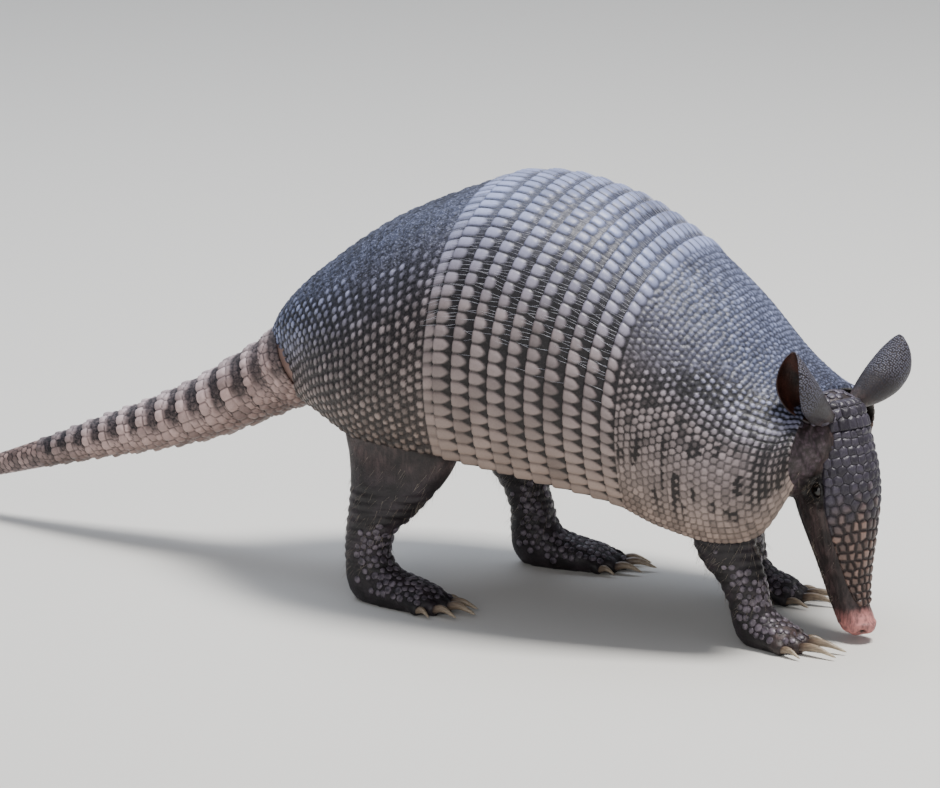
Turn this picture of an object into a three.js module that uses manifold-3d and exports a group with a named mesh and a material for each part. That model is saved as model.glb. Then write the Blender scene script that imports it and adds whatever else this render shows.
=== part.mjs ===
// A nine-banded armadillo, life size, walking with its nose to the ground.
// Millimetres, +Z up. X points to the animal's front and Y to its left side.
// The origin is the middle of the bounding box, at the level of the soles.

import * as THREE from 'three';
import { LoftGeometry } from 'three/addons/geometries/LoftGeometry.js';
import { mergeVertices } from 'three/addons/utils/BufferGeometryUtils.js';
import Module from 'manifold-3d';

const degrees = THREE.MathUtils.degToRad;

// ---------- driving dimensions ----------

const gap = 0.3;              // clearance kept wherever two pieces meet

// Carapace. A row is one cross-section: station, back line x and z, rim x and z, half width.
// Stations 0 to 1 are the pelvic shield, 1 to 2 the movable bands, 2 to 3 the scapular shield.
const shellRows = [
  [0.00, -117, 116, -91, 94, 24],
  [0.25, -105, 138, -64, 92, 52],
  [0.50, -80, 162, -39, 86, 68],
  [0.75, -35, 193, -10, 85, 77],
  [1.00, 25, 217, 18, 84, 80],
  [1.50, 80, 213, 64, 79, 82],
  [2.00, 121, 192, 110, 72, 80],
  [2.33, 153, 168, 136, 62, 77],
  [2.66, 177, 142, 165, 56, 71],
  [2.85, 189, 130, 186, 62, 65],
  [3.00, 197, 122, 201, 87, 57],
];
const bandCount = 9;
const rimAngle = degrees(122);    // from the back line round to the rim
const leanPower = 4.5;            // how close to the back line a cross-section's lean is
const plateThickness = 2.6;
const bandStep = 1.5;             // a band's free rear edge stands this far above the band behind it
const plateEndGap = 0.004;        // in stations, kept at each end of a plate
const shellRadius = 60;           // roughly, to turn a clearance into an angle
const stationLength = 100;        // roughly, to turn a clearance into stations
const shellFacets = 22;           // from rim to rim
const pelvicSteps = 6;
const scapularSteps = 6;

// Trunk, the flesh that fills the carapace.
const bellyFacets = 6;
const bellySag = 11;              // the belly's middle below the rim line
const chestRise = 28;             // how far it climbs again under the neck

// Head. A row is a station from nape to nose tip, then half width, the depths to the brow
// and to the throat, and how far the axis bows towards the brow.
const nape = new THREE.Vector3(199, 1, 113);
const noseTip = new THREE.Vector3(222, -11, 3.5);
const headTurn = degrees(20);     // towards the right side
const headRows = [
  [-0.09, 5, 4, 5, 0],
  [-0.06, 12, 9, 14, 0],
  [0.00, 16.5, 14, 20, 0],
  [0.12, 19, 17, 24, -1],
  [0.25, 20.5, 19.5, 25, -2],
  [0.38, 20.5, 20, 23, -3],
  [0.50, 17.5, 18.5, 19.5, -4],
  [0.62, 14, 15.5, 16, -4.5],
  [0.75, 10.6, 12.2, 12.8, -5],
  [0.86, 8.8, 9.8, 10.8, -4.2],
  [0.93, 8.8, 9.4, 10.2, -2],
  [0.975, 8, 8.6, 9, 0.2],
  [1.00, 4.5, 5, 5, 1.2],
];
const headFacets = 18;

// Horny plates on the head. A row is a head station and the angle covered to each side.
const shieldThickness = 1.6;
const frontalRows = [
  [0.088, 34],
  [0.12, 58],
  [0.22, 66],
  [0.34, 67],
  [0.46, 70],
  [0.6, 66],
  [0.74, 56],
  [0.85, 34],
];
const nuchalRows = [[-0.045, 36], [0, 60], [0.08, 66]];
const shieldGap = 2.7 * gap;      // wider, for the facets of the curved skin under a plate
const shieldFacets = 6;

const eyeRadius = 4;
const eyeStation = 0.33;
const eyeAngle = degrees(76);     // round from the brow line
const eyeDepth = 2.6;             // the centre's depth under the skin
const eyeFacets = 10;

// Neck. A row is the centre x and z, the half height and the half width.
const neckRows = [[181, 96, 29, 57], [190, 96, 26, 54], [197, 98, 20, 40], [206, 100, 13, 20]];
const neckFacets = 16;

// Ears. A row is a station from root to tip, then the rolled leaf's radius and half opening angle.
const earRows = [
  [0, 4, 165],
  [0.12, 5.8, 164],
  [0.25, 7.7, 157],
  [0.4, 9.3, 147],
  [0.55, 10.1, 138],
  [0.75, 9.5, 121],
  [0.88, 7.3, 103],
  [0.96, 4.8, 82],
  [1, 3, 60],
];
const earThickness = 1.6;
const earFacets = 7;
const earPlaces = {
  ear_right: { root: [206.5, -15, 115], tip: [196.5, -42, 152], facing: [-0.34, -0.94, 0] },
  ear_left: { root: [204, 12, 116], tip: [220.5, 38.5, 146], facing: [0.34, 0.94, -0.1] },
};

// Limbs. A row is the centre x, y, z, then the half length fore and aft and the half width.
const legFacets = 12;
const legRows = {
  hind_leg_right: [
    [-16, -36, 128, 34, 14],
    [-15, -42, 100, 34, 15],
    [-17, -46, 80, 31, 14.5],
    [-23, -49, 60, 22, 13],
    [-31, -50, 42, 14, 11.5],
    [-34, -50, 31, 12, 11],
  ],
  hind_leg_left: [
    [-10, 34, 128, 34, 14],
    [-6, 40, 100, 33, 15],
    [-2, 44, 80, 29, 14.5],
    [4, 47, 60, 20, 13],
    [9, 48, 42, 12.5, 11.5],
    [13, 48, 31, 11.5, 11],
  ],
  fore_leg_right: [
    [150, -30, 112, 25, 12],
    [154, -34, 85, 24, 13],
    [158, -36, 66, 20, 12.5],
    [160, -38, 50, 16.5, 12],
    [167, -38, 37, 12.5, 11],
    [172, -38, 27, 11, 10.5],
  ],
  fore_leg_left: [
    [148, 30, 112, 25, 12],
    [144, 34, 85, 24, 13],
    [139, 36, 66, 20, 12.5],
    [135, 37, 50, 16.5, 12],
    [136, 37, 37, 12.5, 11],
    [138, 37, 27, 11, 10.5],
  ],
};

// Feet. A row is the centre line's reach forward and height, then the half depth and half width.
const footFacets = 10;
const hindFootRows = [
  [0, 30.4, 11.8, 10.8],
  [0.5, 22, 12.5, 11],
  [4, 11.5, 15, 11.5],
  [13, 7, 12.5, 12.5],
  [25, 5.6, 10, 13.5],
  [36, 4.4, 8.4, 13.5],
  [41, 4, 6.5, 12.5],
];
const foreFootRows = [
  [0, 26.4, 10.8, 10.3],
  [1.5, 18, 10.5, 10.5],
  [6, 9.5, 12, 11],
  [13, 6.5, 9.8, 12],
  [21, 4.5, 8.5, 12.5],
  [26, 3.9, 7.3, 12],
];
const footPlaces = {
  hind_foot_right: { rows: hindFootRows, at: [-34, -50], heading: -8, toes: 'hind' },
  hind_foot_left: { rows: hindFootRows, at: [13, 48], heading: 9, toes: 'hind' },
  fore_foot_right: { rows: foreFootRows, at: [172, -38], heading: -6, toes: 'fore' },
  fore_foot_left: { rows: foreFootRows, at: [138, 37], heading: 7, toes: 'fore' },
};

// Toes from the outer to the inner side of the right foot: sideways place, angle outwards,
// length, radius and claw length.
const toeSets = {
  hind: {
    start: 33,
    toes: [
      [-10.5, 20, 8, 3.6, 9],
      [-6, 9, 15, 4.3, 14],
      [-0.3, 1, 18, 4.6, 16],
      [5.5, -7, 15, 4.3, 14],
      [10.3, -20, 8, 3.6, 9],
    ],
  },
  fore: {
    start: 18,
    toes: [
      [-9.3, 17, 9, 3.6, 12],
      [-3.4, 4, 15, 4.3, 20],
      [3, -4, 15, 4.3, 20],
      [9, -16, 9, 3.6, 12],
    ],
  },
};
// A toe's row is a share of its length beyond the foot, then in radii a rise and a thickness.
const toeRows = [[-0.4, 1.25, 1], [0, 1.4, 1], [0.45, 1.15, 1], [0.8, 0.8, 0.92], [1, 0.62, 0.7]];
const toeFacets = 6;
const clawFacets = 5;
const clawSteps = 3;
const clawTipHeight = 1.2;

// Tail. The centre line runs back from its root, and a row is a share of its length and a radius.
const tailLine = [
  [-97, 0, 107],
  [-125, 0, 91.5],
  [-150, 0, 78],
  [-180, 0, 65.5],
  [-215, 1, 53.5],
  [-250, 3, 41],
  [-290, 6, 27],
  [-322, 8, 16.5],
  [-350, 9, 9],
];
const tailRows = [
  [0, 19.6],
  [0.04, 19.6],
  [0.14, 17.8],
  [0.28, 14.8],
  [0.42, 11.5],
  [0.61, 8],
  [0.81, 4.8],
  [0.93, 2.8],
  [1, 1.2],
];
const ringCount = 12;
const ringsStart = 0.035;         // share of the tail inside the carapace, where the first ring begins
const ringsEnd = 0.635;           // share where the last ring ends
const tipSteps = 7;
const ringShrink = 0.955;         // each ring's length beside the one before it
const ringFlare = 1.3;
const tailFacets = 14;
const tailGap = 0.0012;           // between rings, as a share of the tail's length

const colours = {
  flesh: 0x4a3c3c,
  plate: 0x4d4a54,
  band: 0x8d8078,
  horn: 0x9a8a72,
  tail: 0xb5a096,
  eye: 0x0c0a0a,
};

// ---------- solids and their joining ----------

const wasm = await Module();
wasm.setup();

function solidFrom(geometry) {
  const bare = new THREE.BufferGeometry();
  bare.setAttribute('position', geometry.attributes.position);
  bare.setIndex(geometry.index);
  const merged = mergeVertices(bare, 1e-3);
  const vertProperties = merged.attributes.position.array;
  const triVerts = new Uint32Array(merged.index.array);
  return new wasm.Manifold(new wasm.Mesh({ numProp: 3, vertProperties, triVerts }));
}

function geometryFrom(solid) {
  const mesh = solid.getMesh();
  const geometry = new THREE.BufferGeometry();
  geometry.setAttribute('position', new THREE.BufferAttribute(mesh.vertProperties, 3));
  geometry.setIndex(new THREE.BufferAttribute(mesh.triVerts, 1));
  geometry.computeVertexNormals();
  return geometry;
}

function carved(geometry, ...tools) {
  const cutter = (left, tool) => left.subtract(solidFrom(tool));
  return geometryFrom(tools.reduce(cutter, solidFrom(geometry)));
}

function joined(first, ...others) {
  const add = (left, other) => left.add(solidFrom(other));
  return geometryFrom(others.reduce(add, solidFrom(first)));
}

// ---------- smooth tables, rings and lofts ----------

// Every column of a table at station t, on a smooth curve through the rows.
function along(rows, t) {
  let i = 0;
  while (i < rows.length - 2 && t > rows[i + 1][0]) i += 1;
  const span = rows[i + 1][0] - rows[i][0];
  const u = (t - rows[i][0]) / span;
  const slope = (j, k) => {
    const before = rows[Math.max(j - 1, 0)];
    const after = rows[Math.min(j + 1, rows.length - 1)];
    return (after[k] - before[k]) / (after[0] - before[0]);
  };
  const blend = (k) => {
    const rise = rows[i + 1][k] - rows[i][k];
    const startPull = slope(i, k) * span - rise;
    const endPull = rise - slope(i + 1, k) * span;
    return rows[i][k] + rise * u + u * (1 - u) * (startPull * (1 - u) + endPull * u);
  };
  return rows[i].slice(1).map((_, k) => blend(k + 1));
}

const left = new THREE.Vector3(0, 1, 0);
const up = new THREE.Vector3(0, 0, 1);
const down = new THREE.Vector3(0, 0, -1);

const steps = (count) => Array.from({ length: count + 1 }, (_, i) => i / count);

// Points round a centre: a is the half size along the first axis, b along the second.
function ring(centre, first, second, a, b, count) {
  return Array.from({ length: count }, (_, i) => {
    const angle = (i / count) * 2 * Math.PI;
    return centre.clone()
      .addScaledVector(first, a * Math.cos(angle))
      .addScaledVector(second, b * Math.sin(angle));
  });
}

const closedLoft = (sections) => new LoftGeometry(sections, { closed: true, capStart: true, capEnd: true });

// The direction of a line of centres at each of them, with either end's given if it matters.
function headingsOf(centres, first, last) {
  const headings = centres.map((_, i) => {
    const before = centres[Math.max(i - 1, 0)];
    const after = centres[Math.min(i + 1, centres.length - 1)];
    return after.clone().sub(before).normalize();
  });
  if (first) headings[0] = first;
  if (last) headings[headings.length - 1] = last;
  return headings;
}

// Rings square to the headings; half sizes run up or forward, then sideways.
function ringsAlong(centres, headings, sizes, side, count) {
  return centres.map((centre, i) => {
    const fore = headings[i].clone().cross(side).normalize();
    const across = headings[i].clone().cross(fore);
    return ring(centre, fore, across, sizes[i][0], sizes[i][1], count);
  });
}

const levelled = (sections) => sections.map((section) => section.map((p) => p.setZ(Math.max(p.z, 0))));

// ---------- carapace and trunk ----------

function shellSurface(station, angle) {
  const [backX, backZ, rimX, rimZ, halfWidth] = along(shellRows, station);
  const drop = (1 - Math.cos(angle)) / (1 - Math.cos(rimAngle));
  const lean = Math.max(1 - drop, 0) ** leanPower;
  return new THREE.Vector3(
    rimX + (backX - rimX) * lean,
    halfWidth * Math.sin(angle),
    backZ + (rimZ - backZ) * drop,
  );
}

// A point of the carapace, moved out along the surface's own normal.
function shellPoint(station, angle, lift) {
  const near = 1e-3;
  const lengthwise = shellSurface(station + near, angle).sub(shellSurface(station - near, angle));
  const round = shellSurface(station, angle + near).sub(shellSurface(station, angle - near));
  const normal = lengthwise.cross(round).normalize();
  return shellSurface(station, angle).addScaledVector(normal, lift);
}

// Stations of a plate, from its rear end to its front end.
function plateStations(rear, front, count) {
  return steps(count).map((u) => THREE.MathUtils.lerp(rear + plateEndGap, front - plateEndGap, u));
}

// A plate between two stations, whose free rear edge may stand up by a step. Growth makes
// it thicker each way, as a tool that cuts room for it.
function plate(rear, front, count, step, growth = 0) {
  const reach = growth / stationLength;
  const stations = plateStations(rear - reach, front + reach, count);
  const sections = steps(shellFacets).map((share) => {
    const angle = (2 * share - 1) * rimAngle;
    const outer = stations.map((station, i) => shellPoint(station, angle, growth + step * (1 - i / count)));
    const inner = stations.map((station) => shellPoint(station, angle, -growth - plateThickness));
    return [...outer, ...inner.reverse()];
  });
  return closedLoft(sections);
}

// The trunk ends inside the scapular shield, where the neck takes over.
const trunkStations = [
  ...plateStations(0, 1, pelvicSteps).slice(0, -1),
  ...steps(3).map((u) => 1 + u),
  ...plateStations(2, 3, scapularSteps).slice(1, -1),
];

// The trunk, or with both growths the room that the trunk and its shell take up together.
function trunkForm(sideGrowth, bellyGrowth) {
  const reachAngle = rimAngle + (sideGrowth > 0 ? gap / shellRadius : 0);
  const sections = trunkStations.map((station) => {
    const flank = steps(shellFacets).map((share) => {
      const angle = (1 - 2 * share) * reachAngle;
      return shellPoint(station, angle, sideGrowth - plateThickness - gap);
    });
    const rightRim = flank[flank.length - 1];
    const belly = steps(bellyFacets).slice(1, -1).map((share) => {
      const point = rightRim.clone().lerp(flank[0], share);
      const rise = chestRise * THREE.MathUtils.smoothstep(station, 2.2, 2.95);
      point.z += (rise - bellySag) * Math.sin(Math.PI * share) - bellyGrowth;
      return point;
    });
    return [...flank, ...belly];
  });
  return closedLoft(sections);
}

// ---------- head, neck and ears ----------

const headAxis = noseTip.clone().sub(nape).normalize();
const headSide = new THREE.Vector3(Math.sin(headTurn), Math.cos(headTurn), 0);
const headBrow = headAxis.clone().cross(headSide).normalize();
const headLeft = headBrow.clone().cross(headAxis);

// A point of the head's surface. The angle is 0 along the brow line and grows to the left.
function headPoint(station, angle, lift) {
  const [halfWidth, brow, throat, bow] = along(headRows, station);
  const depth = Math.cos(angle) > 0 ? brow : throat;
  return nape.clone().lerp(noseTip, station)
    .addScaledVector(headBrow, bow + (depth + lift) * Math.cos(angle))
    .addScaledVector(headLeft, (halfWidth + lift) * Math.sin(angle));
}

function headForm(lift) {
  const sections = headRows.map(([station]) => Array.from({ length: headFacets }, (_, i) => {
    const angle = Math.PI / 2 - (i / headFacets) * 2 * Math.PI;
    return headPoint(station, angle, lift);
  }));
  return closedLoft(sections);
}

function headPlate(rows, growth = 0) {
  const sections = rows.map(([station, spread]) => {
    const arc = steps(shieldFacets).map((share) => degrees(spread) * (1 - 2 * share));
    const outer = arc.map((angle) => headPoint(station, angle, shieldGap + shieldThickness + growth));
    const inner = arc.map((angle) => headPoint(station, angle, shieldGap - growth));
    return [...outer, ...inner.reverse()];
  });
  return closedLoft(sections);
}

// The neck fills the carapace's front opening and narrows to the back of the head.
function neckForm(growth) {
  const sections = neckRows.map(([x, z, high, wide]) => {
    return ring(new THREE.Vector3(x, 0, z), left, up, wide + growth, high + growth, neckFacets);
  });
  return closedLoft(sections);
}

function earForm({ root, tip, facing }) {
  const start = new THREE.Vector3(...root);
  const end = new THREE.Vector3(...tip);
  const rise = end.clone().sub(start).normalize();
  const open = new THREE.Vector3(...facing);
  open.addScaledVector(rise, -open.dot(rise)).normalize();
  const across = rise.clone().cross(open);
  const sections = earRows.map(([station, radius, spread]) => {
    const centre = start.clone().lerp(end, station).addScaledVector(open, radius);
    const arc = steps(earFacets).map((share) => degrees(spread) * (2 * share - 1));
    const leaf = (size) => arc.map((angle) => centre.clone()
      .addScaledVector(open, -size * Math.cos(angle))
      .addScaledVector(across, -size * Math.sin(angle)));
    return [...leaf(radius), ...leaf(radius - earThickness).reverse()];
  });
  return closedLoft(sections);
}

// ---------- limbs ----------

function legForm(rows) {
  const centres = rows.map(([x, y, z]) => new THREE.Vector3(x, y, z));
  const sizes = rows.map((row) => row.slice(3));
  return closedLoft(ringsAlong(centres, headingsOf(centres, null, down), sizes, left, legFacets));
}

function footFrame({ at, heading }) {
  const turn = degrees(heading);
  const ahead = new THREE.Vector3(Math.cos(turn), Math.sin(turn), 0);
  const side = new THREE.Vector3(-Math.sin(turn), Math.cos(turn), 0);
  const place = (forward, sideways, height) => new THREE.Vector3(at[0], at[1], height)
    .addScaledVector(ahead, forward)
    .addScaledVector(side, sideways);
  return { ahead, side, place };
}

// Each toe's direction, size and ends. The outer side of a left foot is its left.
function toeLayout(foot, isLeft) {
  const { place } = footFrame(foot);
  const set = toeSets[foot.toes];
  const mirror = isLeft ? -1 : 1;
  return set.toes.map(([sideways, outward, length, radius, clawLength]) => {
    const bend = degrees(-outward * mirror);
    const from = [set.start, sideways * mirror];
    const point = (reach, height) => place(
      from[0] + reach * Math.cos(bend),
      from[1] + reach * Math.sin(bend),
      height,
    );
    const ahead = point(1, 0).sub(point(0, 0));
    return { point, ahead, length, radius, clawLength };
  });
}

function toeForm(toe, side) {
  const { point, ahead, length, radius } = toe;
  const centres = toeRows.map(([share, rise]) => point(share * length, rise * radius));
  const sizes = toeRows.map(([, , thickness]) => [radius * thickness, radius * thickness]);
  const headings = headingsOf(centres, ahead, ahead);
  return closedLoft(levelled(ringsAlong(centres, headings, sizes, side, toeFacets)));
}

// A claw is a cone that curves down to just above the ground.
function clawForm(toe, side) {
  const { point, ahead, length, radius, clawLength } = toe;
  const base = radius * 0.6;
  const centres = steps(clawSteps).map((u) => {
    const height = base * 1.2 + base * 1.1 * Math.sin(2.6 * u) * (1 - u) - 1.2 * u * u;
    return point(length + gap + clawLength * u, Math.max(height, clawTipHeight));
  });
  const sizes = steps(clawSteps).map((u) => [base * (1.05 - 0.85 * u), base * (0.85 - 0.7 * u)]);
  const headings = headingsOf(centres, ahead);
  return closedLoft(levelled(ringsAlong(centres, headings, sizes, side, clawFacets)));
}

function footForm(foot, isLeft) {
  const { side, place } = footFrame(foot);
  const centres = foot.rows.map(([forward, height]) => place(forward, 0, height));
  const sizes = foot.rows.map((row) => row.slice(2));
  const headings = headingsOf(centres, down);
  const body = closedLoft(levelled(ringsAlong(centres, headings, sizes, side, footFacets)));
  return joined(body, ...toeLayout(foot, isLeft).map((toe) => toeForm(toe, side)));
}

// ---------- tail ----------

const tailCurve = new THREE.CatmullRomCurve3(tailLine.map((p) => new THREE.Vector3(...p)));

// A stretch of tail. Lift adds to the radius at its two ends.
function tailForm(from, to, count, lifts) {
  const shares = steps(count).map((u) => THREE.MathUtils.lerp(from, to, u));
  const centres = shares.map((share) => tailCurve.getPointAt(share));
  const headings = shares.map((share) => tailCurve.getTangentAt(share));
  const sizes = shares.map((share, i) => {
    const radius = along(tailRows, share)[0] + THREE.MathUtils.lerp(lifts[0], lifts[1], i / count);
    return [radius, radius];
  });
  return closedLoft(ringsAlong(centres, headings, sizes, left, tailFacets));
}

// Where each ring starts, as a share of the tail's length. The last entry is the end of the rings.
function ringStarts() {
  const reach = (count) => (1 - ringShrink ** count) / (1 - ringShrink ** ringCount);
  const starts = steps(ringCount).map((_, i) => THREE.MathUtils.lerp(ringsStart, ringsEnd, reach(i)));
  starts[0] = 0;
  return starts;
}

// ---------- the animal ----------

const group = new THREE.Group();
const body = new THREE.Group();
group.add(body);

function addPart(name, geometry, colour, roughness) {
  const material = new THREE.MeshStandardMaterial({ color: colour, roughness, metalness: 0 });
  const mesh = new THREE.Mesh(geometry, material);
  mesh.name = name;
  body.add(mesh);
}

// Carapace
addPart('pelvic_shield', plate(0, 1, pelvicSteps, 0), colours.plate, 0.5);
for (let i = 0; i < bandCount; i += 1) {
  const band = plate(1 + i / bandCount, 1 + (i + 1) / bandCount, 1, bandStep);
  addPart(`band_${i + 1}`, band, colours.band, 0.5);
}
addPart('scapular_shield', plate(2, 3, scapularSteps, 0), colours.plate, 0.5);

// Trunk, neck and head
const headRoom = headForm(gap);
const crownRoom = [headPlate(frontalRows, gap), headPlate(nuchalRows, gap)];
const pelvicRoom = plate(0, 1, pelvicSteps, 0, gap);
const scapularRoom = plate(2, 3, scapularSteps, 0, gap);
const starts = ringStarts();
const tailRoom = tailForm(0, starts[1], 2, [gap, ringFlare + gap]);
const eyeCentres = [-1, 1].map((side) => headPoint(eyeStation, side * eyeAngle, -eyeDepth));
const ball = (centre, radius) => {
  const geometry = new THREE.SphereGeometry(radius, eyeFacets, 0.7 * eyeFacets);
  return geometry.translate(centre.x, centre.y, centre.z);
};
const sockets = eyeCentres.map((centre) => ball(centre, eyeRadius + gap));
addPart('trunk', carved(trunkForm(0, 0), headRoom, tailRoom), colours.flesh, 0.8);
const neck = carved(neckForm(0), trunkForm(gap, gap), headRoom, scapularRoom, ...crownRoom);
addPart('neck', neck, colours.flesh, 0.8);
addPart('head', carved(headForm(0), scapularRoom, ...sockets), colours.flesh, 0.7);
addPart('frontal_shield', headPlate(frontalRows), colours.plate, 0.5);
addPart('nuchal_plate', headPlate(nuchalRows), colours.plate, 0.5);
addPart('eye_right', ball(eyeCentres[0], eyeRadius), colours.eye, 0.15);
addPart('eye_left', ball(eyeCentres[1], eyeRadius), colours.eye, 0.15);
for (const [name, place] of Object.entries(earPlaces)) {
  const ear = carved(earForm(place), headRoom, ...crownRoom, neckForm(gap), scapularRoom);
  addPart(name, ear, colours.flesh, 0.7);
}

// Legs, feet and claws
const bodyRoom = trunkForm(plateThickness + bandStep + 2 * gap, gap);
for (const [name, rows] of Object.entries(legRows)) {
  addPart(name, carved(legForm(rows), bodyRoom), colours.flesh, 0.8);
}
for (const [name, foot] of Object.entries(footPlaces)) {
  const isLeft = name.endsWith('left');
  const { side } = footFrame(foot);
  addPart(name, footForm(foot, isLeft), colours.flesh, 0.7);
  toeLayout(foot, isLeft).forEach((toe, i) => {
    addPart(`${name.replace('foot', 'claw')}_${i + 1}`, clawForm(toe, side), colours.horn, 0.4);
  });
}

// Tail
addPart('tail_ring_1', carved(tailForm(0, starts[1], 2, [0, ringFlare]), pelvicRoom), colours.tail, 0.6);
for (let i = 1; i < ringCount; i += 1) {
  const tailRing = tailForm(starts[i] + tailGap, starts[i + 1], 1, [0, ringFlare]);
  addPart(`tail_ring_${i + 1}`, tailRing, colours.tail, 0.6);
}
addPart('tail_tip', tailForm(ringsEnd + tailGap, 1, tipSteps, [0, 0]), colours.tail, 0.6);

const box = new THREE.Box3().setFromObject(body);
body.position.set(-(box.min.x + box.max.x) / 2, -(box.min.y + box.max.y) / 2, -box.min.z);

export default group;
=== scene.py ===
import math

import bmesh
import bpy
import numpy as np
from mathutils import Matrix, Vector, kdtree


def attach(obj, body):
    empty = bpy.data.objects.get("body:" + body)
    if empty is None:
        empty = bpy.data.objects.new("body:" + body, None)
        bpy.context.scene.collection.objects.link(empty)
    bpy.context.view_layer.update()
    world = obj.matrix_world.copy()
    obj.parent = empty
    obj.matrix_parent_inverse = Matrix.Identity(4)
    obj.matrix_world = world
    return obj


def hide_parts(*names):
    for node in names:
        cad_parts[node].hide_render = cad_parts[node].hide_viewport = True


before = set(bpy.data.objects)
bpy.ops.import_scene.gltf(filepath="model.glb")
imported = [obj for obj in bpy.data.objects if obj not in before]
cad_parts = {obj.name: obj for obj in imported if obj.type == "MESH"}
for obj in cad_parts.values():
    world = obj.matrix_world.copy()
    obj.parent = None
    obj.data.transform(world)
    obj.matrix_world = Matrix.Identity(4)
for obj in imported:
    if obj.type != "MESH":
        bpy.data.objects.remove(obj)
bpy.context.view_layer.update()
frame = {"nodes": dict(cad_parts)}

# A nine-banded armadillo in horn, hide and hair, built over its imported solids.
# Tables are in millimetres, the mesh is in metres.

mm = 0.001
bodyShift = np.array([60.2354, 0.0, 0.0])     # from the tables' origin to the frame's
rng = np.random.default_rng(9)


# smooth tables and surfaces

def along(rows, t):
    # every column of a table at t, on a smooth curve through the rows
    rows = np.asarray(rows, float)
    t = np.atleast_1d(np.asarray(t, float))
    place = np.clip(np.searchsorted(rows[:, 0], t, side="left") - 1, 0, len(rows) - 2)
    before = np.maximum(np.arange(len(rows)) - 1, 0)
    after = np.minimum(np.arange(len(rows)) + 1, len(rows) - 1)
    slope = (rows[after, 1:] - rows[before, 1:]) / (rows[after, :1] - rows[before, :1])
    span = (rows[place + 1, 0] - rows[place, 0])[:, None]
    u = ((t - rows[place, 0])[:, None]) / span
    low, high = rows[place, 1:], rows[place + 1, 1:]
    startPull = slope[place] * span - (high - low)
    endPull = (high - low) - slope[place + 1] * span
    return low + (high - low) * u + u * (1 - u) * (startPull * (1 - u) + endPull * u)


def unit(v):
    return v / np.maximum(np.linalg.norm(v, axis=-1, keepdims=True), 1e-12)


def smooth(low, high, x):
    u = np.clip((np.asarray(x, float) - low) / (high - low), 0, 1)
    return u * u * (3 - 2 * u)


def runOf(points):
    # the length of a path up to each of its points
    return np.concatenate([[0], np.cumsum(np.linalg.norm(np.diff(points, axis=0), axis=1))])


shell = {
    # station, back line x and z, rim x and z, half width
    "rows": [
        [0.00, -117, 116, -91, 94, 24],
        [0.25, -105, 138, -64, 92, 52],
        [0.50, -80, 162, -39, 86, 68],
        [0.75, -35, 193, -10, 85, 77],
        [1.00, 25, 217, 18, 84, 80],
        [1.50, 80, 213, 64, 79, 82],
        [2.00, 121, 192, 110, 72, 80],
        [2.33, 153, 168, 136, 62, 77],
        [2.66, 177, 142, 165, 56, 71],
        [2.85, 189, 130, 186, 62, 65],
        [3.00, 197, 122, 201, 87, 57],
    ],
    "rimDegrees": 122,        # how far round from the back the plates reach
    "leanPower": 4.5,
    "bands": 9,
    "thickness": 2.2,
    "pelvicSpacing": 0.85,    # of the mesh, along and round
    "scapularSpacing": 0.72,
    "scutesRound": 55,        # in one band, from rim to rim
    "buttonPitch": 5.3,       # between the round scutes of the pelvic shield
    "tilePitch": 4.0,         # between the scutes of the scapular shield
    "pebblePitch": 3.2,       # between the grains along its back
}


rimDegrees = shell["rimDegrees"]
rimAngle = math.radians(rimDegrees)


def shellSurface(station, angle):
    station, angle = np.broadcast_arrays(np.asarray(station, float), np.asarray(angle, float))
    table = along(shell["rows"], station.ravel())
    backX, backZ, rimX, rimZ, halfWidth = [column.reshape(station.shape) for column in table.T]
    drop = (1 - np.cos(angle)) / (1 - math.cos(rimAngle))
    lean = np.maximum(1 - drop, 0) ** shell["leanPower"]
    x = rimX + (backX - rimX) * lean
    return np.stack([x, halfWidth * np.sin(angle), backZ + (rimZ - backZ) * drop], -1)


def shellNormal(station, angle):
    near = 1e-3
    lengthwise = shellSurface(station + near, angle) - shellSurface(station - near, angle)
    around = shellSurface(station, angle + near) - shellSurface(station, angle - near)
    return unit(np.cross(lengthwise, around))


def raisedShell(station, angle, rise):
    rise = np.asarray(rise, float)[..., None]
    return shellSurface(station, angle) + shellNormal(station, angle) * rise


# meshes from points

def placed(name, data):
    piece = bpy.data.objects.new(name, data)
    bpy.context.scene.collection.objects.link(piece)
    return piece


def makeObject(name, verts, faces):
    mesh = bpy.data.meshes.new(name)
    mesh.from_pydata((np.asarray(verts) * mm).tolist(), [], [tuple(map(int, f)) for f in faces])
    mesh.update()
    mesh.shade_smooth()
    return placed(name, mesh)


def fromBmesh(name, mesh, origin=(0, 0, 0)):
    # a bmesh drawn in the tables' millimetres as an object in the frame
    data = bpy.data.meshes.new(name)
    for vert in mesh.verts:
        vert.co = (Vector(vert.co) + Vector(bodyShift + np.array(origin))) * mm
    mesh.to_mesh(data)
    mesh.free()
    return placed(name, data)


def writeField(piece, name, values):
    field = piece.data.attributes.new(name, "FLOAT", "POINT")
    field.data.foreach_set("value", np.ascontiguousarray(values, np.float32))


def writeFields(piece, **fields):
    # fields of the outer points, which come first; the inner ones get 0
    for name, values in fields.items():
        padded = np.zeros(len(piece.data.vertices))
        padded[:np.size(values)] = np.ravel(values)
        writeField(piece, name, padded)


def readAll(items, key, width=1, kind=float):
    values = np.zeros(len(items) * width, kind)
    items.foreach_get(key, values)
    return values.reshape(-1, width) if width > 1 else values


def cornersOf(piece):
    # the vertex at each corner of each face
    return readAll(piece.data.loops, "vertex_index", 1, np.int32)


def writeUv(piece, uv):
    # uv is one pair for each corner
    for layer in list(piece.data.uv_layers):
        piece.data.uv_layers.remove(layer)
    layer = piece.data.uv_layers.new(name="OFBake")
    layer.data.foreach_set("uv", np.ascontiguousarray(uv, np.float32).ravel())


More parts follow.
